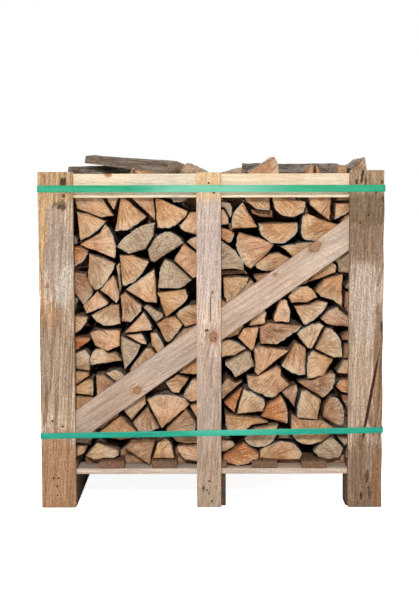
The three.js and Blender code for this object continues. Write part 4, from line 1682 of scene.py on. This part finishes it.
ROUND_BARK = "-4.5,-4.1 4.5,-4.1 4.6,-1.4 3.8,1.6 1.8,3.7 -0.6,4.2 -3,3 -4.4,0.4"
ROUND_EDGES = (1, 2, 3, 4, 5, 6, 7)
LOOSE_LOGS = (
    LooseLog("thin_wedge", Tone.TAN, "-25,97.4 -23.8,97.4 -23.9,104.2 -24.3,104.6 -24.8,103.4", weather=0.2),
    LooseLog("flat_split", Tone.PALE, "-23.4,97.4 -10.7,97.4 -10.8,102.9 -17,103.5 -23.4,104.3", weather=0.2),
    LooseLog(
        "brown_half", Tone.BROWN, "-9.7,97.4 -0.4,97.4 -0.5,103.1 -4,104.9 -7.3,106.3 -8.5,105.7 -9.5,103.9",
        (3, 2), 0.04, 0.8,
    ),
    LooseLog("dark_wedge", Tone.GREY, "3.3,97.4 9.6,97.4 9.6,104.9 3.5,103.3", (2,), 0.03, 0.9, "log_bark"),
    LooseLog(
        "peaked_split", Tone.PALE,
        "11.5,97.4 21.3,97.4 21.1,103.3 20.2,106.5 19.4,108.2 15.2,105.3 11.3,103.5", (2,), 0.02, 0.15,
    ),
    LooseLog("small_wedge_left", Tone.PALE, "28.5,97.4 31.4,97.4 31.3,105 31,105.7 28.7,103.6", weather=0.3),
    LooseLog("small_wedge_right", Tone.TAN, "32,97.4 34.5,97.4 33.7,103.5 32.5,105.4 32,105.5", weather=0.3),
    LooseLog("pale_stub", Tone.CREAM, "38.5,97.4 41.6,97.4 41.6,105.4 38.7,105.5", weather=0.2),
    LooseLog(
        "corner_wedge", Tone.BROWN, "42.7,97.4 48.1,97.4 47.8,103.9 47.1,107.8 46.4,107.5 42.8,104.5",
        (2,), 0.02, 0.6,
    ),
    LooseLog(
        "bark_left", Tone.GREY, ROUND_BARK, ROUND_EDGES, 0.04, 0.9, "log_bark",
        length=0.318, centre=(-0.318, -0.104, 1.0155),
    ),
    LooseLog(
        "bark_right", Tone.GREY, ROUND_BARK, ROUND_EDGES, 0.04, 0.9, "log_bark",
        length=0.322, centre=(0.263, -0.104, 1.021),
    ),
    LooseLog(
        "split_over", Tone.GREY, "-4.5,-1.3 3.7,-1.5 4.6,-0.3 3.9,1 0.6,1.5 -3.9,1.2", (1, 2), 0.06, 0.85,
        length=0.318, centre=(-0.256, -0.196, 1.0645), yaw=-0.45, pitch=0.096, swell=0.4,
    ),
)


@dataclass
class LooseLogs:
    """The logs that lie on top of the stack, most end-on and three crosswise."""

    finishes: list[bpy.types.Material]
    fine_step: float = 5 * MM
    stations: tuple[float, ...] = (
        0, 0.008, 0.04, 0.1, 0.18, 0.27, 0.36, 0.46, 0.56, 0.66, 0.76, 0.86, 0.94, 0.992, 1,
    )

    def build(self) -> None:
        """Each loose log in place of its CAD node."""
        for number, plan in enumerate(LOOSE_LOGS):
            node = f"top_log_{plan.node}"
            low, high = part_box(node)
            start, length = low.y + 1 * MM, high.y - low.y - 4 * MM
            if plan.centre:
                start, length = -plan.length / 2, plan.length
            corners = read_outline(plan.outline)
            seed = 7100 + 13 * number
            looks = (plan.weather, plan.swell, self.fine_step, self.stations)
            skin = Log(plan.tone, corners, plan.bark, plan.bulge, start, length, seed, *looks).surface()
            if plan.centre:
                lying = Matrix.Rotation(math.pi / 2, 4, "Z")
                tipped = Matrix.Rotation(plan.yaw, 4, "Z") @ Matrix.Rotation(plan.pitch, 4, "Y")
                skin.moved(Matrix.Translation(plan.centre) @ tipped @ lying)
            skin.piece(node, self.finishes, plan.slot, [node])


# ---- straps and nails ----


# In each strap, the third colour and the two places along it after that make its painted sheen: a paler
# stretch standing in for reflected light.
UPPER_GREEN = StrapFinish((0.03, 0.66, 0.48), (0.01, 0.56, 0.4), (0.42, 0.74, 0.62), 0.26, 0.8)
LOWER_TEAL = StrapFinish((0.02, 0.65, 0.54), (0.0, 0.55, 0.45), (0.2, 0.69, 0.58), 0.4, 0.8)


@dataclass
class Strap:
    """A flat band, pulled tight round the four sides; it tips a little where nothing is behind it."""

    node: str
    finish: StrapFinish
    tilt: float
    thickness: float = 1.0 * MM
    step: float = 9 * MM
    bend: float = 3.0 * MM
    bay: float = 0.235
    tip: float = 5.0

    def build(self) -> None:
        """Carries a thin rounded section round a square loop with tight round corners.

        The strap tips by a few degrees about the middle of each bay between two posts.
        """
        low, high = (np.array(corner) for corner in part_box(self.node))
        half = (high[0] - low[0]) / 2 - self.thickness / 2
        height = (low[2] + high[2]) / 2
        width = high[2] - low[2] - 2 * half * math.tan(self.tilt)
        reach = half - self.bend
        along = np.linspace(-reach, reach, round(2 * reach / self.step) + 1)
        turn = np.radians(np.linspace(-90, 0, 7))[1:-1]
        side = np.stack([along, np.full_like(along, -half)], -1)
        corner = np.stack([reach + self.bend * np.cos(turn), -reach + self.bend * np.sin(turn)], -1)
        facing = np.concatenate([np.full(len(along), -np.pi / 2), turn])
        quarter = np.concatenate([side, corner])
        path, aim = [], []
        for number in range(4):
            angle = number * np.pi / 2
            spin = np.array([[np.cos(angle), np.sin(angle)], [-np.sin(angle), np.cos(angle)]])
            path.append(quarter @ spin)
            aim.append(facing + angle)
        path, aim = np.concatenate(path), np.concatenate(aim)
        outward = np.stack([np.cos(aim), np.sin(aim), np.zeros_like(aim)], -1)
        from_bay = np.abs(np.abs(np.tile(quarter[:, 0], 4)) - self.bay)
        free = np.clip((0.4 - from_bay * 2.2) * 3, 0, 1)
        lean = np.radians(self.tip) * free * np.sin(aim * 0.5 + self.tilt * 90)
        flat = np.array([[-0.5, 0.28], [-0.5, -0.28], [-0.47, -0.5], [-0.2, -0.5], [0.2, -0.5], [0.47, -0.5]])
        flat = np.concatenate([flat, -flat])
        rise = flat[:, 0] * width
        proud = flat[:, 1] * self.thickness
        up = np.cos(lean)[:, None] * rise - np.sin(lean)[:, None] * proud
        out = np.sin(lean)[:, None] * rise + np.cos(lean)[:, None] * proud
        level = height + path[:, :1] * math.tan(self.tilt) + up
        spot = path[:, None, :] + outward[:, None, :2] * out[..., None]
        rings = np.concatenate([spot, level[..., None]], axis=-1)
        made = closed_loop(rings)
        gone = np.concatenate([[0], np.cumsum(np.linalg.norm(np.diff(path, axis=0), axis=1))])
        place = np.stack([gone[:, None] + 0 * rise, 0 * gone[:, None] + rise, 0 * gone[:, None] + proud], -1)
        made.fields = {"place": place.reshape(-1, 3)}
        made.piece(self.node, [self.finish.dress(self.node)], "strap_plastic", [self.node], 50)


@dataclass
class Nails:
    """Nail heads in the posts' outer faces, slightly domed and rusty.

    The left and right sides' boards stand between the front's and the back's, so their nails are drawn in.
    """

    colour: Colour = (0.26, 0.22, 0.19)
    radius: float = 3.2 * MM
    proud: float = 1.2 * MM
    drawn_in: float = 0.94
    front: tuple[tuple[float, float], ...] = (
        (-0.489, 0.093), (-0.475, 0.093), (-0.478, 0.068), (-0.478, 0.039),
        (-0.008, 0.083), (-0.026, 0.061), (-0.014, 0.055), (0.0, 0.02),
        (0.463, 0.036), (0.478, 0.08), (0.484, 0.061),
        (-0.505, 0.99), (-0.44, 0.975), (-0.008, 1.002), (0.008, 0.972), (0.44, 1.0), (0.5, 0.972),
        (-0.46, 0.255), (-0.49, 0.272), (0.452, 0.88), (0.478, 0.905),
        (-0.012, 0.553), (0.012, 0.528),
    )

    def head(self, at: np.ndarray, outward: np.ndarray, seed: int) -> Surface:
        """A domed disc: rings of a flat lens, lying on the board's face and tipped a little."""
        turn = np.linspace(0, 2 * np.pi, 13)[:-1]
        side = np.cross([0, 0, 1], outward)
        draw = np.random.default_rng(seed)
        size = self.radius * draw.uniform(0.8, 1.1)
        heights, widths = np.array([-1.5, 0.45, 0.8, 1.0]), np.array([1.0, 1.0, 0.85, 0.5])
        radial = np.cos(turn)[:, None] * side + np.sin(turn)[:, None] * np.array([0, 0, 1.0])
        lift = outward * self.proud
        rings = at + radial[None] * (widths * size)[:, None, None] + lift * heights[:, None, None]
        order = rings[:, ::-1]
        return closed_sweep(order, at + lift * heights[0], at + lift * heights[-1] * 1.03)

    def build(self) -> None:
        """Heads on all four sides, joined in one piece."""
        rust, _, shader = new_material("rusty_nail", 0.6, 0.7)
        shader.inputs["Base Color"].default_value = linear(self.colour)
        face = -float(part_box("front_post_left")[0].y)
        heads = []
        for side in Side:
            outward = np.array(side.turned((0, -1, 0)))
            for number, (along, height) in enumerate(self.front):
                inward = 1.0 if side in (Side.FRONT, Side.BACK) else self.drawn_in
                at = np.array(side.turned((along * inward, -face, height)))
                heads.append(self.head(at, outward, 300 + number))
        joined(heads).piece("nail_heads", [rust], "nail_steel", [])


# ---- studio ----


@dataclass
class Studio:
    """Pale floor, white surroundings, one soft key light in front, and the camera."""

    floor_colour: Colour = (0.97, 0.97, 0.97)
    distance: float = 4.603
    eye_height: float = 1.0239
    aside: float = -0.006
    look_down: float = 5.3
    roll: float = -0.12
    focal: float = 80.4
    floor_half: float = 30.0
    floor_glow: float = 0.92
    ambient: float = 0.33

    def floor(self) -> None:
        """A wide flat floor under the crate."""
        s = self.floor_half
        mesh = bpy.data.meshes.new("floor")
        mesh.from_pydata([(-s, -s, 0), (s, -s, 0), (s, s, 0), (-s, s, 0)], [], [(0, 1, 2, 3)])
        made = bpy.data.objects.new("floor", mesh)
        bpy.context.scene.collection.objects.link(made)
        paper, t, shader = new_material("floor_paper", 0.9)
        shader.inputs["Base Color"].default_value = linear(self.floor_colour)
        shader.inputs["Emission Color"].default_value = (1, 1, 1, 1)
        seen = t.add("LightPath").outputs["Is Camera Ray"]
        t.feed(shader.inputs["Emission Strength"], t.times(seen, self.floor_glow))
        mesh.materials.append(paper)

    def surroundings(self) -> None:
        """White all round: full white where it is seen, softer as light."""
        world = bpy.data.worlds.new("white_room")
        world.use_nodes = True
        bpy.context.scene.world = world
        tree = world.node_tree
        back = tree.nodes["Background"]
        back.inputs["Color"].default_value = (1, 1, 1, 1)
        path = tree.nodes.new("ShaderNodeLightPath")
        level = tree.nodes.new("ShaderNodeMapRange")
        level.inputs["To Min"].default_value = self.ambient
        level.inputs["To Max"].default_value = 1.0
        tree.links.new(path.outputs["Is Camera Ray"], level.inputs["Value"])
        tree.links.new(level.outputs[0], back.inputs["Strength"])

    def light(
        self, name: str, place: Sequence[float], aim: Sequence[float], size: float, power: float
    ) -> None:
        """A square soft light that faces a point."""
        data = bpy.data.lights.new(name, "AREA")
        data.size = size
        data.energy = power
        lamp = bpy.data.objects.new(name, data)
        bpy.context.scene.collection.objects.link(lamp)
        lamp.location = place
        away = np.array(place) - np.array(aim)
        lamp.rotation_euler = Vector(away).to_track_quat("Z", "Y").to_euler()

    def camera(self) -> None:
        """The camera, at the front and a little below the crate's top, tilted down."""
        data = bpy.data.cameras.new("camera")
        data.lens = self.focal
        data.sensor_width = 36.0
        data.sensor_fit = "AUTO"
        made = bpy.data.objects.new("camera", data)
        bpy.context.scene.collection.objects.link(made)
        tilt = Matrix.Rotation(math.radians(90 - self.look_down), 4, "X")
        roll = Matrix.Rotation(math.radians(self.roll), 4, "Z")
        made.matrix_world = Matrix.Translation((self.aside, -self.distance, self.eye_height)) @ tilt @ roll
        bpy.context.scene.camera = made

    def build(self) -> None:
        """Floor, surroundings, lights and camera."""
        self.floor()
        self.surroundings()
        self.light("key", (-0.5, -8.8, 4.3), (0, -0.5, 0.5), 0.7, 560.0)
        self.light("left_fill", (-4.5, 1.5, 2.6), (0, 0, 0.5), 2.5, 150.0)
        self.light("right_fill", (4.5, 1.5, 2.6), (0, 0, 0.5), 2.5, 150.0)
        self.light("back_fill", (0.8, 5.2, 2.6), (0, 0, 0.5), 2.5, 150.0)
        self.camera()
        bpy.context.scene.view_settings.view_transform = "Standard"


def main() -> None:
    """Builds every sub-assembly in order."""
    logging.basicConfig(level=logging.INFO, format="%(message)s")
    effects = SharedEffects.build()
    Studio().build()
    CrateSides(effects).build()
    Base(effects).build()
    log_finishes = LogFinish().dress(effects)
    Stack(log_finishes).build()
    LooseLogs(log_finishes).build()
    Strap("strap_upper", UPPER_GREEN, 0.0).build()
    Strap("strap_lower", LOWER_TEAL, 0.016).build()
    Nails().build()


if __name__ == "__main__":
    main()
